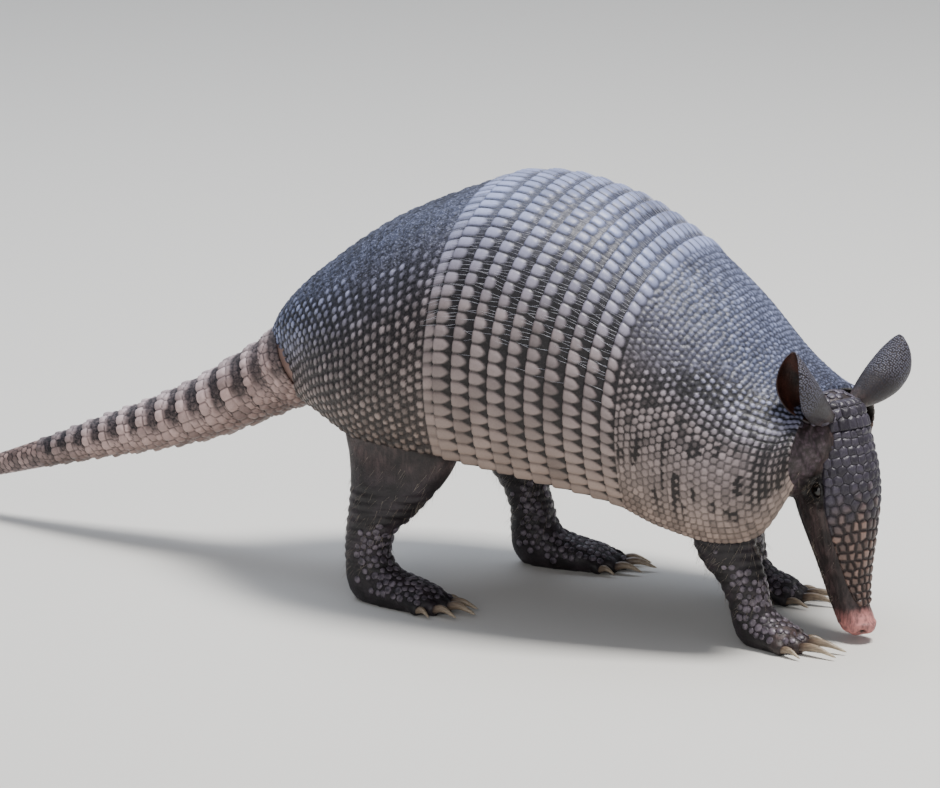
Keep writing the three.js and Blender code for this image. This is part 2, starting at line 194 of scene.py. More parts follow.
def gridFaces(rows, columns, start=0, flip=False):
    i, j = np.meshgrid(np.arange(rows - 1), np.arange(columns - 1), indexing="ij")
    a = (start + i * columns + j).ravel()
    quads = np.stack([a, a + columns, a + columns + 1, a + 1], -1)
    return quads[:, ::-1] if flip else quads


def zipper(left, right):
    # triangles between two runs of vertices with different counts
    faces, i, j = [], 0, 0
    while i < len(left) - 1 or j < len(right) - 1:
        nextLeft = (i + 1) / (len(left) - 1) if i < len(left) - 1 else 2
        nextRight = (j + 1) / (len(right) - 1) if j < len(right) - 1 else 2
        if nextLeft <= nextRight:
            faces.append((left[i], left[i + 1], right[j]))
            i += 1
        else:
            faces.append((left[i], right[j + 1], right[j]))
            j += 1
    return faces


def closedPlate(name, outer, inner):
    # outer and inner are grids of points with the same columns; only the outer one is fine
    rows, columns = outer.shape[:2]
    backs = inner.shape[0]
    start = rows * columns
    verts = np.concatenate([outer.reshape(-1, 3), inner.reshape(-1, 3)])
    faces = [tuple(f) for f in gridFaces(rows, columns)]
    faces += [tuple(f) for f in gridFaces(backs, columns, start, True)]
    j = np.arange(columns - 1)
    lastOuter, lastInner = (rows - 1) * columns + j, start + (backs - 1) * columns + j
    faces += [(a, a + 1, b + 1, b) for a, b in zip(j, start + j)]
    faces += [(b, b + 1, a + 1, a) for a, b in zip(lastOuter, lastInner)]
    outerLeft = [i * columns for i in range(rows)]
    innerLeft = [start + i * columns for i in range(backs)]
    faces += [f[::-1] for f in zipper(outerLeft, innerLeft)]
    outerRight = [i * columns + columns - 1 for i in range(rows)]
    innerRight = [start + i * columns + columns - 1 for i in range(backs)]
    faces += zipper(outerRight, innerRight)
    piece = makeObject(name, verts + bodyShift, faces)
    u, v = np.meshgrid(np.linspace(0, 1, columns), np.linspace(0.1, 1, rows))
    ui, vi = np.meshgrid(np.linspace(0, 1, columns), np.linspace(0, 0.09, backs))
    uv = np.stack([np.append(u, ui), np.append(v, vi)], -1)
    writeUv(piece, uv[cornersOf(piece)])
    return piece


def nearestCells(points, seeds):
    # nearest seed, distance to it and to the edge of its cell
    tree = kdtree.KDTree(len(seeds))
    for i, seed in enumerate(seeds):
        tree.insert(seed, i)
    tree.balance()
    index = np.empty(len(points), int)
    near = np.empty(len(points))
    edge = np.empty(len(points))
    for i, point in enumerate(points):
        found = tree.find_n(point, 2)
        index[i], near[i] = found[0][1], found[0][2]
        apart = (found[0][0] - found[1][0]).length
        edge[i] = (found[1][2] ** 2 - found[0][2] ** 2) / (2 * max(apart, 1e-6))
    return index, near, edge


def softNoise(points, size, seed):
    # smooth values from 0 to 1 that vary over about size
    cell = np.asarray(points, float) / size + seed * 17.3
    base = np.floor(cell).astype(np.int64)
    part = cell - base
    part = part * part * (3 - 2 * part)
    total = np.zeros(len(cell))
    for corner in np.ndindex(2, 2, 2):
        k = base + np.array(corner)
        mixed = (k[:, 0] * 73856093) ^ (k[:, 1] * 19349663) ^ (k[:, 2] * 83492791)
        value = ((mixed * 2654435761) % 4294967296) / 4294967296.0
        weight = np.prod(np.where(np.array(corner) == 1, part, 1 - part), axis=1)
        total += weight * value
    return total


# materials from nodes

def tone(code):
    # a screen colour such as "8d8688" as the linear one that shaders use
    parts = [int(code[i:i + 2], 16) / 255 for i in (0, 2, 4)]
    return tuple(c / 12.92 if c <= 0.04045 else ((c + 0.055) / 1.055) ** 2.4 for c in parts) + (1.0,)


def feed(tree, socket, value):
    if isinstance(value, bpy.types.NodeSocket):
        tree.links.new(value, socket)
    else:
        socket.default_value = value


def nodeOf(tree, kind, settings=None, **inputs):
    node = tree.nodes.new(kind)
    for key, value in (settings or {}).items():
        setattr(node, key, value)
    for key, value in inputs.items():
        feed(tree, node.inputs[key.replace("_", " ")], value)
    return node


def newMaterial(name, specular=0.5, coat=0.0, coatRoughness=0.3):
    material = bpy.data.materials.new(name)
    material.use_nodes = True
    tree = material.node_tree
    tree.nodes.clear()
    shader = nodeOf(tree, "ShaderNodeBsdfPrincipled", Specular_IOR_Level=specular, Coat_Weight=coat,
                    Coat_Roughness=coatRoughness)
    nodeOf(tree, "ShaderNodeOutputMaterial", Surface=shader.outputs["BSDF"])
    return material, tree, shader


def fieldOf(tree, name):
    return nodeOf(tree, "ShaderNodeAttribute", {"attribute_name": name}).outputs["Fac"]


def place(tree, scale=(1, 1, 1)):
    # object coordinates, stretched by a scale along each axis
    coords = nodeOf(tree, "ShaderNodeTexCoord").outputs["Object"]
    return nodeOf(tree, "ShaderNodeMapping", Vector=coords, Scale=scale).outputs["Vector"]


def noiseOf(tree, size, detail=3.0, stretch=(1, 1, 1)):
    # size is the width of a patch in millimetres
    return nodeOf(tree, "ShaderNodeTexNoise", Scale=1000.0 / size, Detail=detail, Roughness=0.55,
                  Vector=place(tree, stretch)).outputs["Fac"]


def cellsOf(tree, size, feature="DISTANCE_TO_EDGE"):
    return nodeOf(tree, "ShaderNodeTexVoronoi", {"feature": feature}, Scale=1000.0 / size,
                  Vector=place(tree)).outputs["Distance"]


def calc(tree, operation, a, b=0.0, c=0.0, clamp=False):
    node = nodeOf(tree, "ShaderNodeMath", {"operation": operation, "use_clamp": clamp})
    for socket, value in zip(node.inputs, (a, b, c)):
        feed(tree, socket, value)
    return node.outputs["Value"]


def spread(tree, value, fromLow, fromHigh, toLow=0.0, toHigh=1.0):
    return nodeOf(tree, "ShaderNodeMapRange", {"clamp": True}, Value=value, From_Min=fromLow,
                  From_Max=fromHigh, To_Min=toLow, To_Max=toHigh).outputs["Result"]


def mixOf(tree, factor, a, b, blend="MIX"):
    node = nodeOf(tree, "ShaderNodeMix", {"data_type": "RGBA", "blend_type": blend, "clamp_factor": True})
    for socket, value in ((0, factor), (6, a), (7, b)):     # the factor and the two colours
        feed(tree, node.inputs[socket], value)
    return node.outputs[2]


def paint(tree, shader, colour, roughness, *bumps):
    # each bump is a height and its strength and depth in millimetres
    feed(tree, shader.inputs["Base Color"], colour)
    feed(tree, shader.inputs["Roughness"], roughness)
    normal = shader.inputs["Normal"]
    for height, strength, depth in reversed(bumps):
        node = nodeOf(tree, "ShaderNodeBump", Strength=strength, Distance=depth * mm, Height=height)
        feed(tree, normal, node.outputs["Normal"])
        normal = node.inputs["Normal"]


# the pale tone for the top of the back is made lighter and bluer, a painted sheen of the light from above
hornTones = {
    "darkLow": "1a100c", "darkHigh": "0c0c13",
    "lightLow": "8c7a70", "lightMiddle": "8a7f80", "paleTopSheen": "8e98be",
    "grime": "57443a",
}


def hornMaterial(name, tones, roughness=0.42):
    # light: the pale crown of each scute; zone: 0 at the rim to 1 on the back; chance: one number a scute;
    # pebble: where the horn breaks up into small grains
    material, tree, shader = newMaterial(name, 0.34, 0.1, 0.26)
    t = {key: tone(code) for key, code in tones.items()}
    light, zone, chance, pebble = (fieldOf(tree, key) for key in ("light", "zone", "chance", "pebble"))
    speck = noiseOf(tree, 1.1, 4)
    grains = spread(tree, cellsOf(tree, 1.5, "F1"), 0.15, 0.6, 1.0, 0.0)
    broken = calc(tree, "MULTIPLY_ADD", calc(tree, "SUBTRACT", speck, 0.53), 0.42, light, clamp=True)
    rough = calc(tree, "MULTIPLY", grains, pebble)
    grainy = calc(tree, "MULTIPLY", rough, spread(tree, speck, 0.35, 0.6, 0.1, 0.34))
    broken = calc(tree, "ADD", broken, grainy, clamp=True)
    pale = mixOf(tree, spread(tree, zone, 0.05, 0.42), t["lightLow"], t["lightMiddle"])
    # towards the back the pale horn takes that painted bluish sheen
    pale = mixOf(tree, spread(tree, zone, 0.45, 0.8), pale, t["paleTopSheen"])
    dark = mixOf(tree, spread(tree, zone, 0.1, 0.6), t["darkLow"], t["darkHigh"])
    colour = mixOf(tree, broken, dark, pale)
    patch = spread(tree, noiseOf(tree, 38, 2), 0.5, 0.72, 0.0, 0.4)
    colour = mixOf(tree, patch, colour, t["grime"], "MULTIPLY")
    value = nodeOf(tree, "ShaderNodeHueSaturation", Color=colour, Value=spread(tree, chance, 0, 1, 0.8, 1.18))
    fine = noiseOf(tree, 0.45, 3)
    shine = calc(tree, "MULTIPLY_ADD", fine, 0.24, spread(tree, light, 0, 1, roughness, roughness - 0.14))
    paint(tree, shader, value.outputs["Color"], shine,
          (fine, 0.35, 0.12), (speck, 0.3, 0.25), (rough, 0.6, 0.5))
    return material


def finish(piece, material, slotName, *nodes):
    piece.data.materials.clear()
    piece.data.materials.append(material)
    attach(piece, "root")
    if nodes:
        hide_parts(*nodes)


# the carapace

def hoopSeeds(low, high, pitch, squareFrom=None, squareAngle=130):
    # scute centres in rows that run round the body, each row shifted by half a scute
    fine = np.linspace(low, high, 400)
    travel = runOf(shellSurface(fine, math.radians(85)))
    count = int(round(travel[-1] / (pitch * 0.92)))
    stations = np.interp((np.arange(count) + 0.5) / count * travel[-1], travel, fine)
    angles = np.linspace(-rimAngle, rimAngle, 500)
    seeds = []
    for k, station in enumerate(stations):
        length = runOf(shellSurface(station, angles))
        total = max(int(round(length[-1] / pitch)), 4)
        at = (np.arange(total) + 0.25) / total * length[-1]
        degrees = np.degrees(np.abs(np.interp(at, length, angles)))
        loose = 1 - smooth(squareAngle - 14, squareAngle, degrees)
        if squareFrom is not None:
            loose = loose * (1 - smooth(squareFrom - 0.08, squareFrom, station))
        at = at + (k % 2) * 0.5 * pitch * loose + rng.normal(0, 0.06 * pitch, total) * (0.3 + 0.7 * loose)
        rowStations = station + rng.normal(0, 0.0022, total) * loose
        theta = np.interp(at, length, angles)
        seeds.append(shellSurface(rowStations, theta))
    return np.concatenate(seeds)


def shieldGrid(low, high, spacing):
    rows = int(runOf(shellSurface(np.linspace(low, high, 300), math.radians(60)))[-1] / spacing)
    hoop = shellSurface(0.5 * (low + high), np.linspace(-rimAngle, rimAngle, 300))
    columns = int(runOf(hoop)[-1] / spacing)
    return np.meshgrid(np.linspace(low, high, rows), np.linspace(-rimAngle, rimAngle, columns), indexing="ij")


def shellPlate(name, station, angle, rise, backStation, backRise, **fields):
    # from an outer grid, which carries the fields, and the rows of its back
    outer = raisedShell(station, angle, rise.reshape(station.shape))
    inner = raisedShell(backStation[:, None], angle[0], backRise[:, None])
    piece = closedPlate(name, outer, inner)
    writeFields(piece, zone=1 - np.degrees(np.abs(angle)) / rimDegrees, **fields)
    return piece


band = {
    "reach": [[0, 0.68], [35, 0.64], [55, 0.54], [72, 0.6], [86, 0.8], [100, 0.96], [112, 1.08], [122, 1.2]],
    "taper": [[0, 0.25], [60, 0.38], [85, 0.55], [105, 0.6], [122, 0.4]],
    "relief": 0.85,
    "freeEdge": 1.7,
    "tuckUnder": 0.24,        # in bands, how far the front runs under the next one
    "columns": 620,           # of the mesh, from rim to rim
}


def bandPattern(across, angle, number):
    # across runs from 0 at the free rear edge to 1 at the next band
    pitch = 2 * rimAngle / shell["scutesRound"]
    cell = np.floor(angle / pitch + 0.5)
    side = np.abs(2 * (angle / pitch - cell))
    degrees = np.degrees(np.abs(angle))
    luck = np.sin(cell * 12.9898 + number * 78.233) * 43758.5453
    luck = luck - np.floor(luck)
    reach = np.interp(degrees, *zip(*band["reach"])) * (0.93 + 0.14 * luck)
    taper = np.interp(degrees, *zip(*band["taper"]))
    power = np.interp(degrees, [50, 95], [2.4, 1.3])
    tip = reach * (1 - taper * side ** power)
    lobe = 1 - smooth(tip - 0.13, tip + 0.08, across)
    groove = smooth(0.66, 0.98, side)
    apart = np.interp(degrees, [40, 70, 95, 118], [1.0, 0.85, 0.6, 0.4])
    light = lobe * (1 - apart * groove * smooth(-0.05, 0.14, across))
    # each lobe is painted darker towards its sides, as shade on its dome
    light = light * (1 - 0.3 * side ** 2 * np.interp(degrees, [70, 105], [1, 0.3]))
    # the free rear edge is darkened, and near the top of the back the dark front of the band is painted
    # lighter, as a highlight
    rear = 1 - smooth(0.0, 0.07, across)
    light = light * (1 - 0.35 * rear) + (1 - lobe) * np.interp(degrees, [20, 60], [0.22, 0.0])
    crown = lobe * (1 - 0.7 * side ** 2) * (0.7 + 0.3 * np.sin(np.pi * np.clip(across / reach, 0, 1)))
    relief = band["relief"] * np.interp(degrees, [85, 118], [1.0, 0.5])
    height = relief * crown - 0.35 * groove * (0.4 + 0.6 * lobe)
    scallop = 0.45 * groove * (1 - smooth(0.0, 0.12, across))
    return light, height - scallop, luck


def buildBand(number):
    low = 1 + (number - 1) / shell["bands"]
    step = 1 / shell["bands"]
    across = np.linspace(0, 1 + band["tuckUnder"], 22)
    angles = np.linspace(-rimAngle, rimAngle, band["columns"])
    b, angle = np.meshgrid(across, angles, indexing="ij")
    station = low + 0.004 + b * step
    light, height, luck = bandPattern(b, angle, number)
    rise = band["freeEdge"] * np.clip(1 - b, 0, 1) ** 1.2 - 1.1 * smooth(0.9, 1.24, b) - 0.25
    lip = 0.5 * (1 - smooth(0.0, 0.05, b))
    backB = np.array([0.0, 0.35, 0.8, 1 + band["tuckUnder"]])
    backRise = band["freeEdge"] * np.clip(1 - backB, 0, 1) ** 1.2 - 1.1 * smooth(0.9, 1.24, backB) - 1.5
    piece = shellPlate(f"band{number}", station, angle, rise + height - lip, low + 0.006 + backB * step,
                       backRise, light=light, chance=luck)
    finish(piece, bandHorn, "band", f"band_{number}")


def buttonPattern(points, angle, seeds, radii):
    # round pale buttons in a net of small dark polygons
    index, near, edge = nearestCells(points, seeds)
    degrees = np.degrees(np.abs(angle))
    radius = radii[index]
    dot = 1 - smooth(radius - 0.35, radius + 0.4, near)
    dome = np.sqrt(np.clip(1 - (near / (radius + 0.35)) ** 2, 0, 1))
    offset = points - seeds[index]
    around = np.arctan2(offset[:, 2], offset[:, 0] + 1e-6)
    spokes = (0.5 + 0.5 * np.cos(7 * around + index)) ** 4
    ring = smooth(radius + 0.1, radius + 0.6, near)
    height = 0.6 * dome - 0.2 * ring * spokes - 0.25 * (1 - smooth(0.0, 0.35, edge))
    return index, dot, height, ring, degrees


def buildPelvicShield():
    station, angle = shieldGrid(0.004, 1.03, shell["pelvicSpacing"])
    points = shellSurface(station, angle).reshape(-1, 3)
    s, theta = station.ravel(), angle.ravel()
    seeds = hoopSeeds(0.0, 0.94, shell["buttonPitch"])
    radii = 1.62 * rng.uniform(0.7, 1.16, len(seeds))
    index, dot, height, ring, degrees = buttonPattern(points, theta, seeds, radii)
    luck = rng.uniform(0, 1, len(seeds))[index]
    fleck = softNoise(points, 1.7, 3)
    wander = 12 * (softNoise(points, 20, 5) - 0.5) + 10 * (luck - 0.5)
    # along the back the shield is painted dark with pale specks, as the shadow that lies there, over a grainy
    # surface
    topEdge = np.interp(s, [0, 0.24, 0.47, 0.74, 0.94], [6, 14, 32, 46, 52])
    top = 1 - smooth(-6, 6, degrees + wander - topEdge)
    pebble = 0.25 * ring * (1 - top) + top
    light = dot * (0.55 + 0.45 * luck) * (1 - top) + 0.1 * ring * fleck
    light = light + top * (0.05 + 0.12 * dot + 0.1 * smooth(0.4, 0.8, fleck))
    # the lower flank towards the rear is painted darker, as shade
    low = smooth(104, 118, degrees)
    light = light * (1 - 0.45 * low * (1 - smooth(0.7, 0.9, s)))
    bandLight, bandHeight, bandLuck = bandPattern((s - 0.945) * 12.5, theta, 20)
    front = smooth(0.94, 0.948, s)
    light = light * (1 - front) + bandLight * front
    height = height * (1 - front) + (bandHeight + 0.35 * (1 - smooth(0.945, 0.99, s))) * front
    luck = np.where(front > 0.5, bandLuck, luck)
    pebble = pebble * (1 - front)
    rise = -0.5 - 1.2 * smooth(0.985, 1.03, s)
    rearLip = 0.8 * (1 - smooth(0.0, 0.025, s))
    backStation = np.linspace(0.008, 1.03, 26)
    backRise = -0.5 - shell["thickness"] - 0.4 * smooth(0.95, 1.03, backStation)
    piece = shellPlate("pelvicShield", station, angle, rise + height - rearLip, backStation, backRise,
                       light=light, chance=luck, pebble=pebble)
    finish(piece, shieldHorn, "shield", "pelvic_shield")


def buildScapularShield():
    station, angle = shieldGrid(2.0, 2.996, shell["scapularSpacing"])
    points = shellSurface(station, angle).reshape(-1, 3)
    s, theta = station.ravel(), angle.ravel()
    degrees = np.degrees(np.abs(theta))
    tileSeeds = hoopSeeds(2.07, 3.0, shell["tilePitch"], 2.86, 112)
    grainSeeds = hoopSeeds(2.07, 3.0, shell["pebblePitch"])
    grainSeeds = grainSeeds + rng.normal(0, 0.42, grainSeeds.shape)
    index, near, edge = nearestCells(points, tileSeeds)
    grain, grainNear, grainEdge = nearestCells(points, grainSeeds)
    luck = rng.uniform(0, 1, len(tileSeeds))[index]
    grainLuck = rng.uniform(0, 1, len(grainSeeds))[grain]
    wander = 9 * (softNoise(points, 14, 2) - 0.5) + 7 * (luck - 0.5)
    tileEdge = np.interp(s, [2.0, 2.42, 2.64, 2.81, 3], [87, 76, 67, 57, 54])
    grainEdgeLine = np.interp(s, [2.0, 2.07, 2.49, 2.69, 2.9], [67, 64, 42, 32, 30])
    tiles = smooth(-5, 5, degrees + wander - tileEdge)
    pebbles = 1 - smooth(-6, 6, degrees + wander - grainEdgeLine)
    dots = np.clip(1 - tiles - pebbles, 0, 1)
    between = (degrees - grainEdgeLine) / (tileEdge - grainEdgeLine)
    radius = 0.8 + 0.6 * smooth(0, 1, between) + 0.35 * (luck - 0.5)
    dot = (1 - smooth(radius - 0.25, radius + 0.45, near)) * np.where(luck < 0.1, 0.35, 1)
    column = softNoise(points * [1, 0.15, 0.16], 2.5, 8)
    blotch = 0.95 * smooth(0.54, 0.72, column) * smooth(0.3, 0.55, softNoise(points, 9, 4))
    blotch = blotch * (1 - smooth(106, 118, degrees)) * (1 - 0.5 * smooth(100, 108, degrees))
    streak = smooth(0.35, 0.6, softNoise(points * [1.6, 0.1, 0.12], 4, 5))
    blotch = np.maximum(blotch, smooth(2.76, 2.9, s) * (1 - smooth(94, 108, degrees)) * (0.5 + 0.5 * streak))
    joint = 0.2 + 0.8 * blotch
    floorLight = 0.42 * smooth(2, 16, degrees - tileEdge) * (1 - np.clip(1.6 * blotch, 0, 1))
    tileLight = floorLight + (1 - floorLight) * smooth(joint, joint + 0.5, edge)
    tileLight = tileLight * (0.8 + 0.2 * luck) * (1 - 0.25 * blotch)
    # the grains are painted lighter near the top of the back, as a highlight
    grainLight = (0.52 + 0.25 * (1 - smooth(5, 30, degrees))) * smooth(0.12, 1.2, grainEdge)
    grainLight = 0.12 + grainLight * (0.45 + 0.55 * grainLuck)
    dotLight = np.maximum(dot * (0.75 + 0.25 * luck), 0.16 * grainLight)
    light = tiles * tileLight + dots * dotLight + pebbles * grainLight
    grainHeight = 0.62 * np.clip(1 - (grainNear / 2.0) ** 2, 0, 1) - 0.3 * (1 - smooth(0.0, 0.45, grainEdge))
    dotHeight = 0.62 * np.sqrt(np.clip(1 - (near / (radius + 0.4)) ** 2, 0, 1))
    tileHeight = 0.36 * smooth(0.05, 0.6, edge) + 0.16 * smooth(0.4, 2.0, edge)
    height = tiles * tileHeight + dots * np.maximum(dotHeight, 0.3 * grainHeight) + pebbles * grainHeight
    bandLight, bandHeight, bandLuck = bandPattern((s - 2.0) * 10.0, theta, 10)
    rearLine = np.interp(degrees, [0, 60, 80, 110], [2.064, 2.068, 2.082, 2.09])
    rear = 1 - smooth(rearLine, rearLine + 0.008, s)
    light = light * (1 - rear) + bandLight * rear
    height = height * (1 - rear) + bandHeight * rear
    luck = np.where(rear > 0.5, bandLuck, luck)
    freeRise = 1.35 * (1 - smooth(2.0, 2.12, s)) - 0.25 - 0.5 * (1 - smooth(2.0, 2.006, s))
    frontLip = 0.9 * smooth(2.975, 2.996, s)
    backStation = np.linspace(2.002, 2.994, 24)
    backRise = 1.35 * (1 - smooth(2.0, 2.12, backStation)) - shell["thickness"] + 0.8 * (backStation < 2.05)
    piece = shellPlate("scapularShield", station, angle, freeRise + height - frontLip, backStation, backRise,
                       light=light, chance=luck)
    finish(piece, shieldHorn, "shield", "scapular_shield")


shieldHorn = hornMaterial("shieldHorn", hornTones)
bandHorn = hornMaterial("bandHorn", hornTones, 0.4)
buildPelvicShield()
for number in range(1, shell["bands"] + 1):
    buildBand(number)
buildScapularShield()
print("carapace made")


# head, ears, legs and feet as smooth forms

head = {
    "nape": [199, 1, 113],
    "noseTip": [222, -11, 3.5],
    "turn": math.radians(20),
    # station, half width, depth to the brow and to the throat, bow of the axis
    "rows": [
        [-0.09, 5, 4, 5, 0],
        [-0.06, 12, 9, 14, 0],
        [0.00, 16.5, 14, 20, 0],
        [0.12, 19, 17, 24, -1],
        [0.25, 20.5, 19.5, 25, -2],
        [0.38, 20.5, 20, 23, -3],
        [0.50, 17.5, 18.5, 19.5, -4],
        [0.62, 14, 15.5, 16, -4.5],
        [0.75, 10.6, 12.2, 12.8, -5],
        [0.86, 8.8, 9.8, 10.8, -4.2],
        [0.93, 8.8, 9.4, 10.2, -2],
        [0.975, 8, 8.6, 9, 0.2],
        [1.00, 4.5, 5, 5, 1.2],
    ],
    # x, z, half height, half width
    "neck": [[172, 97, 30, 56], [184, 97, 27, 54], [192, 97.5, 24, 49], [199, 98.5, 19, 37],
             [208, 100, 12, 18]],
    "eyeStation": 0.33,
    "eyeAngle": math.radians(76),
    "eyeDepth": 2.6,
    "eyeRadius": 4.0,
    "mouthAngle": 118,        # in degrees from the brow
}
nape, noseTip = np.array(head["nape"], float), np.array(head["noseTip"], float)
headAxis, headLength = unit(noseTip - nape), np.linalg.norm(noseTip - nape)
headBrow = unit(np.cross(headAxis, [math.sin(head["turn"]), math.cos(head["turn"]), 0]))
headLeft = np.cross(headBrow, headAxis)


def headPoint(station, angle, lift=0.0):
    station, angle, lift = np.broadcast_arrays(
        np.asarray(station, float), np.asarray(angle, float), np.asarray(lift, float))
    table = along(head["rows"], station.ravel())
    halfWidth, brow, throat, bow = [column.reshape(station.shape) for column in table.T]
    depth = throat + (brow - throat) * smooth(-0.12, 0.12, np.cos(angle))
    up = (bow + (depth + lift) * np.cos(angle))[..., None] * headBrow
    across = ((halfWidth + lift) * np.sin(angle))[..., None] * headLeft
    return nape + (noseTip - nape) * station[..., None] + up + across


def headPlace(points):
    # the station and angle of points near the head, and how far out they are (1 is the surface)
    offset = points - nape
    station = offset @ headAxis / headLength
    table = along(head["rows"], np.clip(station, -0.09, 1))
    up = offset @ headBrow - table[:, 3]
    side = offset @ headLeft
    depth = np.where(up > 0, table[:, 1], table[:, 2])
    reach = np.hypot(up / depth, side / table[:, 0])
    return station, np.arctan2(side / table[:, 0], up / depth), reach


ears = {
    # station from root to tip, radius of the rolled leaf, half the angle it covers
    "rows": [
        [0, 3.6, 168],
        [0.12, 5.6, 166],
        [0.25, 7.6, 158],
        [0.4, 9.2, 148],
        [0.55, 10, 139],
        [0.75, 9.4, 122],
        [0.88, 7.2, 104],
        [0.96, 4.6, 82],
        [1, 2.2, 40],
    ],
    "rim": 1.4,               # the leaf's thickness
    "around": 46,             # points on each side of it
    "places": [
        {"root": [206.5, -15, 115], "tip": [196.5, -42, 152], "facing": [-0.34, -0.94, 0]},
        {"root": [204, 12, 116], "tip": [220.5, 38.5, 146], "facing": [0.34, 0.94, -0.1]},
    ],
}

legs = {
    # x, y, z, half length fore and aft, half width
    "hindRight": [[-16, -36, 128, 34, 14], [-15, -42, 100, 34, 15], [-17, -46, 80, 31, 14.5],
                  [-23, -49, 60, 22, 13], [-31, -50, 42, 14, 11.5], [-34, -50, 28, 12, 11]],
    "hindLeft": [[-10, 34, 128, 34, 14], [-6, 40, 100, 33, 15], [-2, 44, 80, 29, 14.5],
                 [4, 47, 60, 20, 13], [9, 48, 42, 12.5, 11.5], [13, 48, 28, 11.5, 11]],
    "foreRight": [[150, -30, 112, 25, 12], [154, -34, 85, 24, 13], [158, -36, 66, 20, 12.5],
                  [160, -38, 50, 16.5, 12], [167, -38, 37, 12.5, 11], [172, -38, 24, 11, 10.5]],
    "foreLeft": [[148, 30, 112, 25, 12], [144, 34, 85, 24, 13], [139, 36, 66, 20, 12.5],
                 [135, 37, 50, 16.5, 12], [136, 37, 37, 12.5, 11], [138, 37, 24, 11, 10.5]],
}

feet = {
    # forward, height, half depth, half width
    "hind": [[0, 30.4, 11.8, 10.8], [0.5, 22, 12.5, 11], [4, 11.5, 15, 11.5], [13, 7, 12.5, 12.5],
             [25, 5.6, 10, 13.5], [36, 4.4, 8.4, 13.5], [41, 4, 6.5, 12.5]],
    "fore": [[0, 26.4, 10.8, 10.3], [1.5, 18, 10.5, 10.5], [6, 9.5, 12, 11], [13, 6.5, 9.8, 12],
             [21, 4.5, 8.5, 12.5], [26, 3.9, 7.3, 12]],
    # sideways, angle outwards, length, radius, claw length
    "hindToes": [[-10.5, 20, 8, 3.6, 9], [-6, 9, 15, 4.3, 14], [-0.3, 1, 18, 4.6, 16],
                 [5.5, -7, 15, 4.3, 14], [10.3, -20, 8, 3.6, 9]],
    "foreToes": [[-9.3, 17, 9, 3.6, 12], [-3.4, 4, 15, 4.3, 20], [3, -4, 15, 4.3, 20], [9, -16, 9, 3.6, 12]],
    "toeStart": {"hind": 33, "fore": 18},
    "toeRows": [[-0.4, 1.25, 1], [0, 1.4, 1], [0.45, 1.15, 1], [0.8, 0.8, 0.92], [1, 0.62, 0.7]],
    # where each foot stands and its heading in degrees
    "places": {"hindRight": (-34, -50, -8), "hindLeft": (13, 48, 9),
               "foreRight": (172, -38, -6), "foreLeft": (138, 37, 7)},
}


def earFrame(ear):
    root, tip = np.array(ear["root"], float), np.array(ear["tip"], float)
    rise = unit(tip - root)
    facing = np.array(ear["facing"], float)
    facing = unit(facing - rise * (facing @ rise))
    return root, tip, rise, facing, np.cross(rise, facing)


def leafAt(share):
    # the rolled leaf's radius, half angle, thickness and the radius of its middle
    radius, half = along(ears["rows"], share).T
    thin = ears["rim"] * (1 - 0.45 * smooth(0.2, 1.0, share))
    return radius, np.radians(half), thin, radius + 0.2 - thin / 2


def earDistance(points, ear):
    # how far points are from the rolled leaf of an ear, and whether they are on its hollow side
    root, tip, rise, facing, across = earFrame(ear)
    length = np.linalg.norm(tip - root)
    share = (points - root) @ rise / length
    kept = np.clip(share, 0, 1)
    radius, half, thin, middle = leafAt(kept)
    offset = points - root - (tip - root) * kept[:, None] - facing * radius[:, None]
    ahead, aside = offset @ facing, offset @ across
    radial = np.hypot(ahead, aside) - middle
    beyond = np.maximum(np.abs(np.arctan2(-aside, -ahead)) - half, 0) * middle
    over = np.maximum(share - 1, 0) * length
    away = np.sqrt(radial ** 2 + beyond ** 2 + over ** 2) - thin / 2
    return away, radial, share, np.arctan2(-aside, -ahead) * middle, share * length


def earForm(ear):
    # the rolled leaf with a rounded rim, as a closed object
    root, tip, _, facing, across = earFrame(ear)
    mesh, rings = bmesh.new(), []
    stations = np.concatenate([np.linspace(0, 0.88, 44), np.linspace(0.9, 1, 10)])
    for station, radius, half, thin, middle in zip(stations, *leafAt(stations)):
        centre = root + (tip - root) * station + facing * radius
        arc = np.linspace(-half, half, ears["around"])
        cap = np.linspace(0, math.pi, 6)[1:-1]
        out, over = np.sin(cap) * thin / 2 / middle, np.cos(cap) * thin / 2
        path = np.concatenate([
            np.column_stack([arc, np.full(len(arc), middle + thin / 2)]),
            np.column_stack([half + out, middle + over]),
            np.column_stack([arc[::-1], np.full(len(arc), middle - thin / 2)]),
            np.column_stack([-half - out, middle - over])])
        turn, size = path[:, :1], path[:, 1:]
        rings.append(centre - facing * size * np.cos(turn) - across * size * np.sin(turn))
    addLoft(mesh, rings)
    bmesh.ops.triangulate(mesh, faces=mesh.faces)
    bmesh.ops.recalc_face_normals(mesh, faces=mesh.faces)
    return fromBmesh("earForm", mesh)


def ellipseRing(centre, first, second, a, b, count):
    turn = np.linspace(0, 2 * math.pi, count, endpoint=False)[:, None]
    return centre + a * np.cos(turn) * first + b * np.sin(turn) * second


def ringLoft(centres, sizes, side, count, first=None, last=None):
    centres = np.asarray(centres, float)
    headings = unit(np.gradient(centres, axis=0))
    if first is not None:
        headings[0] = first
    if last is not None:
        headings[-1] = last
    rings = []
    for centre, heading, (a, b) in zip(centres, headings, sizes):
        fore = unit(np.cross(heading, side))
        rings.append(ellipseRing(centre, fore, np.cross(heading, fore), a, b, count))
    return rings


def refined(rows, count):
    # a table of stations with smooth rows between them
    rows = np.asarray(rows, float)
    t = np.arange(len(rows))
    fine = np.linspace(0, len(rows) - 1, count)
    return along(np.column_stack([t, rows]), fine)


